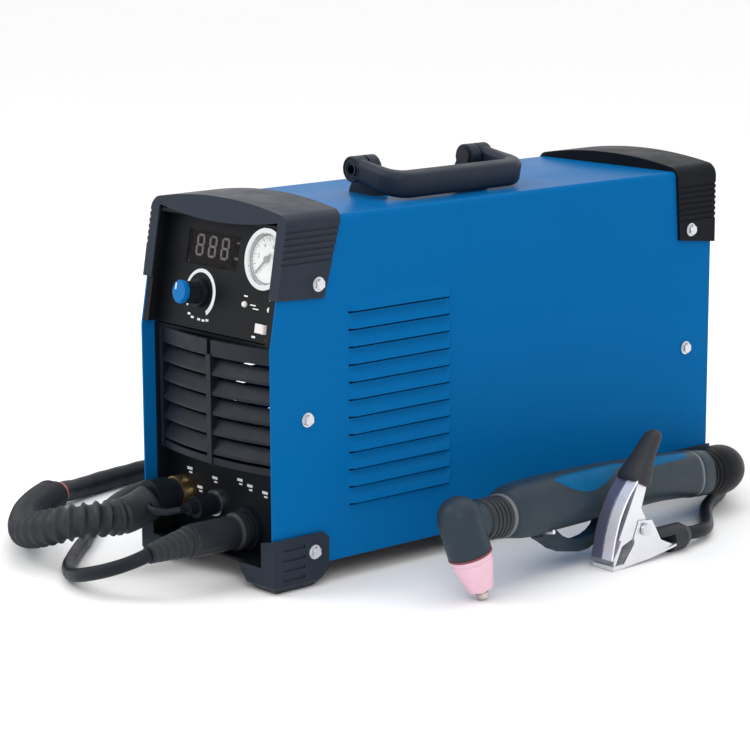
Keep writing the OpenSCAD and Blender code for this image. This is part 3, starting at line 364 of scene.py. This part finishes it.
def coil_turns(centre, slots, start, sweep, window=58, step=9):
    """Turns laid in slots of (radius, height), clockwise from above, each moving to the next near its end."""
    each, pts, a = sweep / len(slots), [], 0.0
    while a < sweep - 1e-6:
        k = min(int(a // each), len(slots) - 1)
        left = (k + 1) * each - a
        r, z = slots[k]
        if left < window and k + 1 < len(slots):
            t = 1 - left / window
            t = t * t * (3 - 2 * t)
            r += (slots[k + 1][0] - r) * t
            z += (slots[k + 1][1] - z) * t
        angle = math.radians(start - a)
        pts.append((centre[0] + r * math.cos(angle), centre[1] + r * math.sin(angle), z))
        a += step
    return pts


def lead(name, points, diameter, replaces):
    """A lead's sheath along its points, and the line it follows."""
    path = spline(points, step=diameter * 0.55)
    piece = mesh_piece(name, *skin(tube_rings(path, diameter / 2, 16)), MATS["lead_sheath"],
                       slot="lead_sheath", replaces=replaces, smooth=60)
    return piece, path


BOOT = [(-49, -8, 26.5), (-49.5, -18, 22.5), (-50, -29, 20), (-51.5, -40, 20), (-54, -50, 20.5),
        (-59, -59, 19.5), (-68, -67, 17), (-80, -71, 13), (-93, -71, 9.5), (-106, -66, 6.5),
        (-119, -58, 4), (-133, -49, 2), (-147, -39, 0), (-162, -27, -1), (-176, -13, -1.6),
        (-188, 1, -2), (-199, 17, -2)]
TORCH_OUT = [(-199, 17, -2), (-208, 32, -4), (-215, 49, -6), (-221, 69, -6.5), (-226, 92, -6.5),
             (-230, 120, -6.5), (-234, 150, -7), (-237, 185, -8), (-240, 225, -8), (-243, 262, -8),
             (-243, 298, -8)]
TORCH_BACK = [(-137, 404, 25), (-122, 406, 20), (-108, 410, 11), (-92, 416, 2), (-74, 423, -5),
              (-50, 429, -8), (-18, 433, -8), (12, 433, -6), (35, 429, -2), (53, 422, 4), (69, 411, 9),
              (84, 396, 12)]
EARTH_OUT = [(18.5, -60, 14), (16.5, -67, 11.5), (10.5, -74, 8), (1, -79, 4), (-11, -82, 0),
             (-25, -82, -4), (-39, -78, -7), (-52, -71, -9), (-65, -62, -9.5), (-79, -49, -9.5),
             (-94, -34, -9.5), (-110, -17, -9.5), (-128, 0, -9.5), (-148, 20, -9.5), (-168, 42, -9.5),
             (-186, 66, -9.5), (-198, 92, -9.5), (-203, 118, -9.5), (-203, 146, -9.5),
             (-200, 168, -9.5)]
EARTH_BACK = [(-133, 229, -2), (-118, 235, -5.5), (-103, 246, -8.5), (-90, 260, -9.5),
              (-80, 282, -9.5), (-78, 312, -9.5), (-78, 345, -9.5), (-80, 372, -9.5), (-80, 394, -9.5),
              (-69, 412, -9.5), (-42, 418, -9.5), (-5, 417, -9.5), (25, 417, -9.5), (52, 414, -9.5),
              (73, 406, -9.5), (87, 393, -9.5), (97, 375, -9.5), (107, 357, -9.5), (120, 340, -9.5),
              (135, 324, -9), (149, 308, -8), (158, 292, -6), (160, 274, -5)]
TORCH_COIL = (-168, 330)
EARTH_COIL = (-150, 180)
torch_slots = [(75, -8), (63, -8), (63, 4), (75, 4), (75, 16), (63, 16), (63, 28), (75, 28)]
torch_turns = coil_turns(TORCH_COIL, torch_slots, 180, 6.25 * 360)
earth_slots = [(51.5, -9.5), (42.5, -9.5), (42.5, -0.5), (51.5, -0.5)]
earth_turns = coil_turns(EARTH_COIL, earth_slots, 180, 3.25 * 360)
torch_lead, torch_path = lead("torch_lead_line", TORCH_OUT + torch_turns + TORCH_BACK, diameter=12,
                              replaces=["torch_lead", "torch_lead_coil"])
earth_lead, earth_path = lead("earth_lead_line", EARTH_OUT + earth_turns + EARTH_BACK, diameter=9,
                              replaces=["earth_lead", "earth_lead_coil"])


# ---- shared shaping helpers -------------------------------------------------

def sample(table, x):
    """Smooth values between the rows of a table of (x, a, b, ...)."""
    rows = [table[0]] + list(table) + [table[-1]]
    i = 1
    while i < len(rows) - 3 and rows[i + 1][0] < x:
        i += 1
    a, b = rows[i], rows[i + 1]
    t = min(1, max(0, (x - a[0]) / max(b[0] - a[0], 1e-9)))
    out = []
    for p0, p1, p2, p3 in list(zip(rows[i - 1], a, b, rows[i + 2]))[1:]:
        out.append(0.5 * (2 * p1 + (p2 - p0) * t + (2 * p0 - 5 * p1 + 4 * p2 - p3) * t * t
                          + (3 * p1 - p0 - 3 * p2 + p3) * t ** 3))
    return out


def power(v, p):
    return math.copysign(abs(v) ** p, v)


def plate(outer, inner):
    """A closed skin between two grids of points."""
    rows, cols = len(outer), len(outer[0])
    verts = [p for row_ in outer for p in row_] + [p for row_ in inner for p in row_]
    base = rows * cols
    faces = []
    for i in range(rows - 1):
        for k in range(cols - 1):
            a = i * cols + k
            faces.append((a, a + 1, a + cols + 1, a + cols))
            faces.append((base + a, base + a + cols, base + a + cols + 1, base + a + 1))
    rim = list(range(cols)) + [i * cols + cols - 1 for i in range(1, rows)]
    rim += [(rows - 1) * cols + k for k in range(cols - 2, -1, -1)]
    rim += [i * cols for i in range(rows - 2, 0, -1)]
    faces += [(rim[k], base + rim[k], base + rim[(k + 1) % len(rim)], rim[(k + 1) % len(rim)])
              for k in range(len(rim))]
    return verts, faces


# ---- pieces on the leads ----------------------------------------------------

BOOT_CORE, BOOT_RIB, BOOT_PITCH = 9.8, 2.2, 7.2
BOOT_CUFF = 30


def boot_radius(far, t):
    """Smooth cuff with two ring grooves, then a spiral rib."""
    if far < BOOT_CUFF:
        groove = 0.9 if 23 < far < 25.5 or 27.5 < far < BOOT_CUFF else 0
        return BOOT_CORE + 2.1 - groove - max(0, 1.2 - far)
    return BOOT_CORE + BOOT_RIB * max(0.0, math.cos(2 * math.pi * far / BOOT_PITCH + t)) ** 0.8


boot_path = spline(BOOT, step=0.9)
mesh_piece("torch_lead_rib_boot", *skin(tube_rings(boot_path, boot_radius, 36)), MATS["rubber"],
           slot="rubber", replaces=["torch_plug_boot"], smooth=50)
near_path = spline(TORCH_OUT[:8], step=1.5)
sleeve = mesh_piece("torch_lead_sleeve", *skin(tube_rings(near_path[:9], lambda far, t: 9.0 - 0.1 * far, 28)),
                    SLEEVE, slot="rubber")


def jacket_radius(far, t):
    """A cloth jacket's slight waves."""
    return 7.3 + 0.12 * math.sin(far / 3.1 + 2 * t) + 0.1 * math.sin(far / 7)


jacket = mesh_piece("torch_lead_jacket", *skin(tube_rings(near_path[5:100], jacket_radius, 24)),
                    MATS["lead_sheath"], slot="lead_sheath")


def plug_radius(far, t):
    """Earth plug from its front: nose, collar, ribbed body, ringed tail."""
    if far < 3.5:
        return 10.6
    if far < 9.5:
        return 12.3 - 0.5 * (far < 4.2 or far > 8.8)
    if far < 46:
        return 10.3 + 0.5 * (math.cos(14 * t) > 0) * (12 < far < 43)
    taper = 9.6 - (far - 46) * 0.125
    return taper - 0.9 * ((far - 46) % 4.6 < 1.5)


earth_plug_line = [(18.5, 15.5, 16.5), (18.5, -8, 16.5), (18.5, -31, 16.5), (18.5, -45, 15.4),
                   (18.5, -60, 14)]
earth_plug_path = spline(earth_plug_line, step=0.75)
earth_plug_body = mesh_piece("earth_plug_body", *skin(tube_rings(earth_plug_path, plug_radius, 56)),
                             MATS["rubber"], slot="rubber", replaces=["earth_plug"], smooth=30)


def tie_band(name, centre, angle, near, far, low, high, band=7.0, thick=1.0):
    """A strap round a coil's turns."""
    a = math.radians(angle)
    out = Vector((math.cos(a), math.sin(a), 0))
    along = Vector((-math.sin(a), math.cos(a), 0))
    mid = Vector((centre[0], centre[1], (low + high) / 2)) + out * (near + far) / 2
    rings = []
    w, h = far - near, high - low
    inner = round_section(w, h, 5)
    outer = round_section(w + 2 * thick, h + 2 * thick, 5 + thick)
    for (ix, iz), (ox, oz) in zip(inner, outer):
        oz = max(oz, -h / 2 - 0.05)
        corners = ((ix, iz, -band / 2), (ix, iz, band / 2), (ox, oz, band / 2), (ox, oz, -band / 2))
        rings.append([mid + out * x + Vector((0, 0, z)) + along * s for x, z, s in corners])
    return mesh_piece(name, *skin(rings, closed=True), TIE, slot="rubber", smooth=40)


torch_ties = [tie_band(f"torch_coil_tie_{k}", TORCH_COIL, 25 + 120 * k, 57.2, 80.8, FLOOR + 0.25, 33.9)
              for k in range(3)]
earth_ties = [tie_band(f"earth_coil_tie_{k}", EARTH_COIL, 85 + 120 * k, 38.2, 55.8, FLOOR + 0.25, 3.9, band=6)
              for k in range(3)]


# ---- carrying handle --------------------------------------------------------

HANDLE_LIFT = 11
HANDLE = ROW @ at(4, 179, 236) @ turn(HANDLE_LIFT, "Y")
ARM_Y, BAR_X, CORNER = 55.0, 38.5, 12.0
line = [(-1, -ARM_Y), (8, -ARM_Y), (17, -ARM_Y)]
line += [(BAR_X - CORNER + CORNER * math.sin(a), CORNER - ARM_Y - CORNER * math.cos(a))
         for a in (math.radians(7.5 * k) for k in range(13))]
line += [(BAR_X, -ARM_Y + CORNER + 43 * k / 6) for k in range(1, 7)]
line += [(x, -y) for x, y in line[-2::-1]]
rings = []
for i, (x, y) in enumerate(line):
    x0, y0 = line[max(0, i - 1)]
    x1, y1 = line[min(len(line) - 1, i + 1)]
    ahead = Vector((x1 - x0, y1 - y0, 0)).normalized()
    side = Vector((-ahead.y, ahead.x, 0))
    grip = min(1.0, max(0.0, (x - 12) / (BAR_X - 12)))
    wide = 10 + 3 * grip
    high = 15 + 2 * grip
    rings.append([Vector((x, y, 0)) + side * a + Vector((0, 0, b))
                  for a, b in round_section(wide, high, 4.2, 7)])
bail = skin(rings)


def eye(end):
    """Hub of the handle on its hinge pin, with ring grooves on both faces."""
    half = [(0, 5), (3.1, 5), (3.1, 4.5), (4.6, 4.5), (4.6, 5), (6.0, 5), (6.2, 4.5), (7.1, 4.5), (7.3, 5),
            (7.9, 5), (8.5, 4.4)]
    profile = half + [(r, -y) for r, y in half[::-1]]
    return moved(lathe(profile, 48), at(0, end * ARM_Y, 0) @ turn(-90, "X"))


mesh_piece("handle_bail", *join([bail, eye(-1), eye(1)]), MATS["slate_plastic"], matrix=HANDLE,
           body="carry_handle", slot="slate_plastic", replaces=["carry_handle"], smooth=42)

# ---- torch ------------------------------------------------------------------

# Along the handle: distance, top, bottom, half the width.
GRIP = [(40, 13, -12.5, 12.8), (42, 15.8, -14.6, 14), (50, 18.2, -16.0, 15), (60, 19.3, -16.6, 15.4),
        (70, 19.9, -16.7, 15.5), (84, 20.4, -15.9, 15.5), (110, 20.8, -15.4, 15.2), (150, 20.8, -14, 15),
        (205, 20, -12.5, 15), (236, 18.6, -13.6, 15.3), (254, 17.6, -15, 15.5), (264, 16.6, -14.8, 15)]
SLOT_HALF, SLOT_TOP, SLOT_ENDS = 5.4, -5.0, (71, 152.5)
SQUARE = 2 / 2.5


def grip_point(y, t, grow=0.0):
    top, low, half = sample(GRIP, y)
    tall = (top - low) / 2 + grow
    x = (half + grow) * power(math.cos(t), SQUARE)
    return (x, y, (top + low) / 2 + tall * power(math.sin(t), SQUARE))


def grip_ring(y, slot, n=46):
    """A ring round the handle, starting and ending at the trigger's slot."""
    groove = 0.7 if 247.5 < y < 250.5 or 44.5 < y < 46 else 0.0
    top, low, half = sample(GRIP, y)
    start = -math.acos((SLOT_HALF / half) ** (1 / SQUARE))
    ring = [grip_point(y, start + (math.pi - 2 * start) * k / (n - 1), -groove) for k in range(n)]
    z = ring[0][2]
    roof = SLOT_TOP if slot else z + 0.04
    return ring + [(-SLOT_HALF + 0.04, y, roof), (SLOT_HALF - 0.04, y, roof)]


stations = [40 + 1.5 * k for k in range(150) if 40 + 1.5 * k < 264] + [264]
stations = sorted(set(stations + [end + step for end in SLOT_ENDS for step in (-0.05, 0.05)]))
mesh_piece("torch_grip", *skin([grip_ring(y, SLOT_ENDS[0] < y < SLOT_ENDS[1]) for y in stations]),
           MATS["torch_plastic"], matrix=TORCH, slot="torch_plastic",
           replaces=["torch_handle_left", "torch_handle_right"], smooth=38)


def inlay(name, side, y0, y1, low, high):
    """Soft inlay on the handle; low and high give its edges in degrees at a share 0 to 1 of its length."""
    outer, inner = [], []
    count = 30
    for i in range(count + 1):
        f = i / count
        y = y0 + (y1 - y0) * f
        end = min(1, math.sqrt(max(0.0, 1 - (2 * f - 1) ** 8)) + 0.02)
        mid, half = (low(f) + high(f)) / 2, (high(f) - low(f)) / 2 * end
        row_out, row_in = [], []
        for k in range(13):
            g = 2 * k / 12 - 1
            t = math.radians(mid + half * g)
            rise = 0.5 * (1 - g ** 6) * min(1, 14 * f, 14 * (1 - f)) + 0.06
            x, yy, z = grip_point(y, t, rise)
            row_out.append((side * x, yy, z))
            x, yy, z = grip_point(y, t, -0.5)
            row_in.append((side * x, yy, z))
        outer.append(row_out)
        inner.append(row_in)
    return mesh_piece(name, *plate(outer, inner), INLAY, matrix=TORCH, slot="blue_plastic", smooth=50)


def front_inlay_low(f):
    """Lower edge of the front inlay: it dips towards the trigger and comes back."""
    return 44 - 38 * math.sin(math.pi * min(1, f * 1.15)) ** 0.8


for side, label in ((1, "right"), (-1, "left")):
    inlay(f"grip_inlay_front_{label}", side, 84, 163, front_inlay_low, lambda f: 58 + 8 * f)
    inlay(f"grip_inlay_rear_{label}", side, 176, 238, lambda f: 26 + 16 * f, lambda f: 62 + 4 * f)

# Head and neck, melted into one form.
dome = [(14 * math.cos(a), 4 + 14 * math.sin(a)) for a in (math.radians(9 * k) for k in range(11))]
head_form = moved(lathe([(0, -19.9), (13.2, -19.9), (14, -19)] + dome, 56), turn(NOZZLE_TILT, "X"))
neck_form = moved(lathe([(0, 1), (12.3, 1), (12.4, 18), (0, 18)], 56), turn(-90, "X"))
head = mesh_piece("torch_head_form", *join([head_form, neck_form]), MATS["torch_plastic"], matrix=TORCH,
                  slot="torch_plastic", replaces=["torch_head"], smooth=0)
melt = head.modifiers.new("melt", "REMESH")
melt.mode = "VOXEL"
melt.voxel_size = 0.0008
melt.use_smooth_shade = True
soften = head.modifiers.new("soften", "SMOOTH")
soften.iterations = 7
collar_profile = [(0, 16.6), (12.6, 16.6), (13.3, 17.4)]
for k in range(5):
    y = 18.2 + 3.9 * k
    collar_profile += [(13.4, y), (13.4, y + 2.5), (12.5, y + 2.9), (12.5, y + 3.6)]
collar_profile += [(13.2, 37.8), (0, 37.8)]
mesh_piece("neck_collar", *moved(lathe(collar_profile, 56), turn(-90, "X")), MATS["rubber"], matrix=TORCH,
           slot="rubber", smooth=30)
ring_profile = [(0, 37.4), (13.5, 37.4), (14.1, 38), (14.1, 40), (13.5, 40.6), (0, 40.6)]
mesh_piece("neck_ring", *moved(lathe(ring_profile, 56), turn(-90, "X")), GREY_RING, matrix=TORCH,
           slot="torch_plastic", smooth=30)
mesh_piece("grip_end_ring", *skin([[grip_point(y, 2 * math.pi * k / 48, g) for k in range(48)]
                                   for y, g in ((247.7, -0.5), (248, -0.05), (250, -0.05), (250.3, -0.5))]),
           GREY_RING, matrix=TORCH, slot="torch_plastic", smooth=30)
seal_profile = [(0, -21), (13.6, -21), (14.05, -20.7), (14.05, -19.9), (13.6, -19.5), (0, -19.5)]
mesh_piece("head_seal", *lathe(seal_profile, 56), SEAL, matrix=NOZZLE, slot="rubber", smooth=30)


def notched(profile, n, teeth, edge, depth):
    """A turned form whose rings at the edge height are cut back between the teeth."""
    verts, faces = lathe(profile, n)
    out = []
    for i, (x, y, z) in enumerate(verts):
        gap = int((i % n) * 2 * teeth / n) % 2
        if abs(z - edge) < 0.3 and gap:
            z += depth
        out.append((x, y, z))
    return out, faces


cup_profile = [(4.7, -28), (4.7, -43.6), (4.9, -44), (8.0, -44), (8.5, -43.4), (13.0, -27), (13.2, -25.6),
               (13.25, -24.6), (12.9, -24.3), (12.9, -23.9), (13.25, -23.6), (13.3, -21.2), (12.9, -20.6),
               (4.7, -20.6)]
mesh_piece("ceramic_cup", *notched(cup_profile, 96, 6, -44, 1.3), MATS["ceramic"], matrix=NOZZLE,
           slot="ceramic", replaces=["shield_cup"], smooth=30)
tip_profile = [(0.9, -45), (0.9, -50), (3.2, -50), (3.9, -49.4), (4.0, -46.4), (3.4, -46.1), (3.4, -45.4),
               (4.1, -45.1), (4.1, -36), (0.9, -36)]
mesh_piece("castellated_tip", *notched(tip_profile, 72, 6, -50, 1.7), MATS["tip_metal"], matrix=NOZZLE,
           slot="tip_metal", replaces=["cutting_tip"], smooth=25)

# Bulb at the torch's tail: distance along it, radius.
TAIL = [(0, 15.2), (10, 15.8), (20, 17.2), (30, 17.3), (39, 16), (47, 13.2), (55, 10), (63, 8)]
tail_line = [(0, 264.05, 0), (0, 274, 0), (-0.5, 284, 0), (-2, 294, 0), (-5, 303, 0), (-9, 311, 1),
             (-14, 318, 2), (-20, 324, 3)]


def tail_radius(far, t):
    """The bulb with a soft front edge, two ring grooves and a ringed end."""
    grooved = (far > 44 and far % 4 < 1.3) or 3.5 < far < 5 or 8 < far < 9.3
    return sample(TAIL, far)[0] - max(0, 0.8 - far) - 0.7 * grooved


mesh_piece("torch_tail_boot", *skin(tube_rings(spline(tail_line, step=1.0), tail_radius, 48)),
           TAIL_RUBBER, matrix=TORCH, slot="rubber", replaces=["torch_boot"], smooth=40)

# ---- earth clamp ------------------------------------------------------------

def strip(name, x, wide, line, mat, matrix, body, thick):
    """A flat bent band of constant width, along points in Y and Z."""
    section = ((-1, -0.6), (-0.92, -1), (0.92, -1), (1, -0.6), (1, 0.6), (0.92, 1), (-0.92, 1), (-1, 0.6))
    pts = spline([(x, y, z) for y, z in line], step=1.2)
    rings = []
    for i, p in enumerate(pts):
        ahead = (pts[min(i + 1, len(pts) - 1)] - pts[max(i - 1, 0)]).normalized()
        over = Vector((1, 0, 0)).cross(ahead)
        rings.append([p + Vector((a * wide / 2, 0, 0)) + over * b * thick / 2 for a, b in section])
    return mesh_piece(name, *skin(rings), mat, matrix=matrix, body=body, slot="steel", smooth=35)


leaf_line = [(57, 4.8), (52, 6.2), (42, 8.8), (28, 9.8), (15, 8.2), (6, 6), (1, 4.9)]
# The left leaf takes the painted shade copy and the right leaf the painted lit copy of the same steel.
for x, label, mat in ((-4.7, "left", LEAF_SHADE), (4.7, "right", LEAF_PAINTED_LIT)):
    strip(f"clamp_leaf_{label}", x, 8.9, leaf_line, mat, UPPER, "clamp_upper", thick=1.3)

# Along the thumb grip: distance, half the width, half the thickness, how far its middle stands out.
grip_line = [(54, 10.8, 8.6, -0.4), (56, 11.4, 9.2, -0.4), (60, 11, 8.7, -0.5), (66, 9.4, 7.3, -1),
             (74, 7.8, 6, -1.8), (82, 6.8, 5.1, -3.2), (88, 5.8, 4.4, -4.6), (91, 3.6, 2.8, -5.4),
             (91.8, 1, 0.8, -5.7)]
rings = []
for k in range(60):
    y = 54 + 37.8 * min(1, k / 59)
    wide, thick, z = sample(grip_line, y)
    rings.append([(wide * power(math.cos(a), 0.8), y, z + thick * power(math.sin(a), 0.8))
                  for a in (2 * math.pi * i / 40 for i in range(40))])
mesh_piece("clamp_thumb_grip", *skin(rings), MATS["rubber"], matrix=UPPER, body="clamp_upper", slot="rubber",
           replaces=["clamp_upper_grip"], smooth=45)
PIN = ROW @ at(160, 225, 9)
SPRING_R, SPRING_LONG, SPRING_WIRE_R = 5.4, 12.8, 0.8
SPRING_TURNS, TURN_STEPS = 6, 40
wire = []
for k in range(SPRING_TURNS * TURN_STEPS + 1):
    a = 2 * math.pi * k / TURN_STEPS
    x = SPRING_LONG * (k / (SPRING_TURNS * TURN_STEPS) - 0.5)
    wire.append(Vector((x, SPRING_R * math.cos(a), SPRING_R * math.sin(a))))
mesh_piece("clamp_spring", *skin(tube_rings(wire, SPRING_WIRE_R, 12)), MATS["zinc_steel"], matrix=PIN,
           slot="zinc_steel", smooth=60)

# ---- front panel details ----------------------------------------------------

def spot(points, x, z, y=-0.12, back=0.3):
    """A thin printed shape on a panel, given in x and z about its middle."""
    return prism([(x + a, z + b) for a, b in points], y, back)


def bar(w, h):
    return [(-w / 2, -h / 2), (-w / 2, h / 2), (w / 2, h / 2), (w / 2, -h / 2)]


def arc(r0, r1, a0, a1, n=40, grow=0.0):
    """A band between two radii; angles in degrees clockwise from straight up."""
    outer, inner = [], []
    for k in range(n + 1):
        a = math.radians(a0 + (a1 - a0) * k / n)
        r = r1 + grow * k / n
        outer.append((r * math.sin(a), r * math.cos(a)))
        inner.append((r0 * math.sin(a), r0 * math.cos(a)))
    return outer + inner[::-1]


def band_mesh(outline, n, x, z, y0, y1):
    """Quads for an arc's outline, so that it stays a clean strip."""
    verts = [(x + a, y, z + b) for y in (y0, y1) for a, b in outline]
    m = len(outline)
    faces = []
    for k in range(n):
        a, b, c, d = k, k + 1, m - 2 - k, m - 1 - k
        faces += [(a, d, c, b), (m + a, m + b, m + c, m + d)]
    faces += [(k, (k + 1) % m, m + (k + 1) % m, m + k) for k in range(m)]
    return verts, faces


KNOB_AT, GAUGE_AT, WINDOW_Z = (-20.9, 23.4), (41.2, 52), 52
marks = [band_mesh(arc(13.2, 14.9, -130, 145, grow=1.2), 40, *KNOB_AT, -0.1, 0.3)]
below_knob = ((-8.5, 14.2), (-4.8, 16), (2, 16.6), (6.5, 16.8), (10.4, 16.2))
marks += [spot(bar(2.8, 1.4), KNOB_AT[0] + x, KNOB_AT[1] - z) for x, z in below_knob]
faint = [spot(bar(3.4, 0.8), 8.4, WINDOW_Z + 6.4, 3, 3.3), spot(bar(1, 1.8), 6.4, WINDOW_Z - 3.4, 3, 3.3),
         spot(bar(1, 1.8), 8.4, WINDOW_Z - 3.4, 3, 3.3), spot(bar(2.2, 1.5), 11, WINDOW_Z - 4.2, 3, 3.3)]
mesh_piece("display_marks", *join(faint), SEGMENT, matrix=PANEL, slot="digits", smooth=0)
marks += [spot(bar(5.5, 0.7), 33 + 3 * k, 22.4 - 2 * k) for k in (0, 1)]
marks += [spot(bar(3.6, 0.9), x, 27.2) for x in (25.2, 50.4)]
marks += [spot(bar(3.4, 1.2), x, 3.2) for x in (37, 50.5)]
mesh_piece("panel_marks", *join(marks), PRINT, matrix=PANEL, slot="white_dial", smooth=0)

WALL = ROW @ at(0, 20, 0)
wall_marks = []
for x, z in ((-43.3, 44.8), (-32.9, 34), (-16.9, 43), (9, 46.4), (19.1, 44.3), (34.2, 42.6)):
    wall_marks += [spot(bar(5.4, 1.8), x, z), spot(bar(3.2, 1.1), x + 0.8, z - 2.6)]
mesh_piece("wall_marks", *join(wall_marks), PRINT, matrix=WALL, slot="white_dial", smooth=0)


def segment(flat, w, t):
    """A bar with pointed ends, lying or standing."""
    pts = [(-w / 2, 0), (-w / 2 + t / 2, t / 2), (w / 2 - t / 2, t / 2), (w / 2, 0), (w / 2 - t / 2, -t / 2),
           (-w / 2 + t / 2, -t / 2)]
    return pts if flat else [(b, a) for a, b in pts][::-1]


DIGIT_Z, DIGIT_LEAN, BAR_WIDE = WINDOW_Z + 1.4, 0.08, 1.5
digits = []
for x in (-30.2, -17.5, -4.8):
    for z in (-6.3, 0, 6.3):
        digits.append(spot(segment(True, 5.6, BAR_WIDE), x + DIGIT_LEAN * z, DIGIT_Z + z, 3.0, 3.35))
    for side in (x - 3.1, x + 3.1):
        for z in (-3.15, 3.15):
            digits.append(spot(segment(False, 5.8, BAR_WIDE), side + DIGIT_LEAN * z, DIGIT_Z + z, 3.0, 3.35))
mesh_piece("display_digits", *join(digits), SEGMENT, matrix=PANEL, slot="digits", smooth=0)

DIAL = PANEL @ at(GAUGE_AT[0], 0, GAUGE_AT[1])
DIAL_START, TICK_STEP, NUMBER_STEP = -135, 9, 54
ticks_and_shade_ring = []
for k in range(31):
    a = DIAL_START + TICK_STEP * k
    inner, half = (11.6, 1.3) if k % 3 == 0 else (12.7, 0.6)
    ticks_and_shade_ring.append(band_mesh(arc(inner, 14.2, a - half, a + half, 1), 1, 0, 0, 0.5, 0.7))
# A dark ring between the bezel and the dial: painted shade, where the bezel shades the dial's rim.
ticks_and_shade_ring.append(band_mesh(arc(14.7, 15.95, -180, 180), 60, 0, 0, 0.4, 0.7))
mesh_piece("dial_ticks_and_painted_shade_ring", *join(ticks_and_shade_ring), MATS["needle_black"], matrix=DIAL, slot="needle_black", smooth=0)
for k in range(6):
    a = math.radians(DIAL_START + NUMBER_STEP * k)
    text = bpy.data.curves.new(f"dial_number_{k}", "FONT")
    text.body = str(2 * k)
    text.size = 4.0
    text.extrude = 0.05
    text.align_x = "CENTER"
    text.align_y = "CENTER"
    text.materials.append(MATS["needle_black"])
    number = bpy.data.objects.new(f"dial_number_{k}", text)
    bpy.context.scene.collection.objects.link(number)
    number.matrix_world = DIAL @ at(9.2 * math.sin(a), 0.54, 9.2 * math.cos(a)) @ turn(90, "X")
    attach(number, "case")

KNOB_FACE = -16.9
pointer = spot(bar(1.0, 4.2), KNOB_AT[0] - 3.2, KNOB_AT[1] + 3.2, KNOB_FACE - 0.35, KNOB_FACE)
mesh_piece("knob_pointer", *pointer, PRINT, matrix=PANEL, body="current_knob", slot="white_dial", smooth=0)

# ---- softened edges of the CAD pieces ---------------------------------------

EDGES = {
    1.6: ["front_hood", "rear_hood"],
    1.3: ["torch_trigger"],
    1.2: ["clamp_lower_grip"],
    1.0: ["corner_feet", "handle_lugs"],
    0.8: ["torch_plug", "clamp_upper_grip"],
    0.6: ["torch_outlet", "gauge_case", "display_panel", "mains_gland", "earth_socket"],
    0.5: ["knob_cap", "switch_frame", "power_switch", "clamp_pin", "air_inlet", "handle_pins"],
    0.4: ["current_knob", "front_grille", "mode_rocker", "control_socket", "control_lead"],
    0.35: ["case_cover"],
    0.3: ["clamp_lower_arm", "clamp_upper_arm", "case_screws"],
    0.2: ["rear_panel"],
}
for width, nodes in EDGES.items():
    for node in nodes:
        ease(NODES[node], width, 3 if width >= 1 else 2)

# ---- stage and light --------------------------------------------------------

# Half the floor's side, and how far it lies under the part, in metres.
FLOOR_HALF, FLOOR_DROP = 6, 0.0002
floor = bpy.data.objects.new("floor", bpy.data.meshes.new("floor"))
corners = [(FLOOR_HALF * x, FLOOR_HALF * y, -FLOOR_DROP) for x, y in ((-1, -1), (1, -1), (1, 1), (-1, 1))]
floor.data.from_pydata(corners, [], [(0, 1, 2, 3)])
floor.data.materials.append(material("floor_pale", (0.97, 0.97, 0.97), 0.6, mottle=(3, 0.01), specular=0.2))
bpy.context.scene.collection.objects.link(floor)

world = bpy.data.worlds.new("studio")
world.use_nodes = True
world.node_tree.nodes["Background"].inputs["Color"].default_value = (1, 1, 1, 1)
world.node_tree.nodes["Background"].inputs["Strength"].default_value = 1.0
bpy.context.scene.world = world
bpy.context.scene.view_settings.view_transform = "Standard"


def softbox(name, place, aim, size, power):
    light = bpy.data.lights.new(name, "AREA")
    light.shape = "RECTANGLE"
    light.size, light.size_y = size
    light.energy = power
    holder = bpy.data.objects.new(name, light)
    bpy.context.scene.collection.objects.link(holder)
    holder.location = place
    holder.rotation_euler = (Vector(aim) - Vector(place)).to_track_quat("-Z", "Y").to_euler()


softbox("key", (-0.9, -1.2, 1.5), (0, 0, 0.1), (0.9, 0.9), 10)
softbox("side", (1.5, -1.3, 1.2), (0, -0.1, 0.1), (0.8, 0.8), 7)
softbox("top", (0.1, 0.2, 1.6), (0, 0, 0.2), (1.4, 1.4), 6)
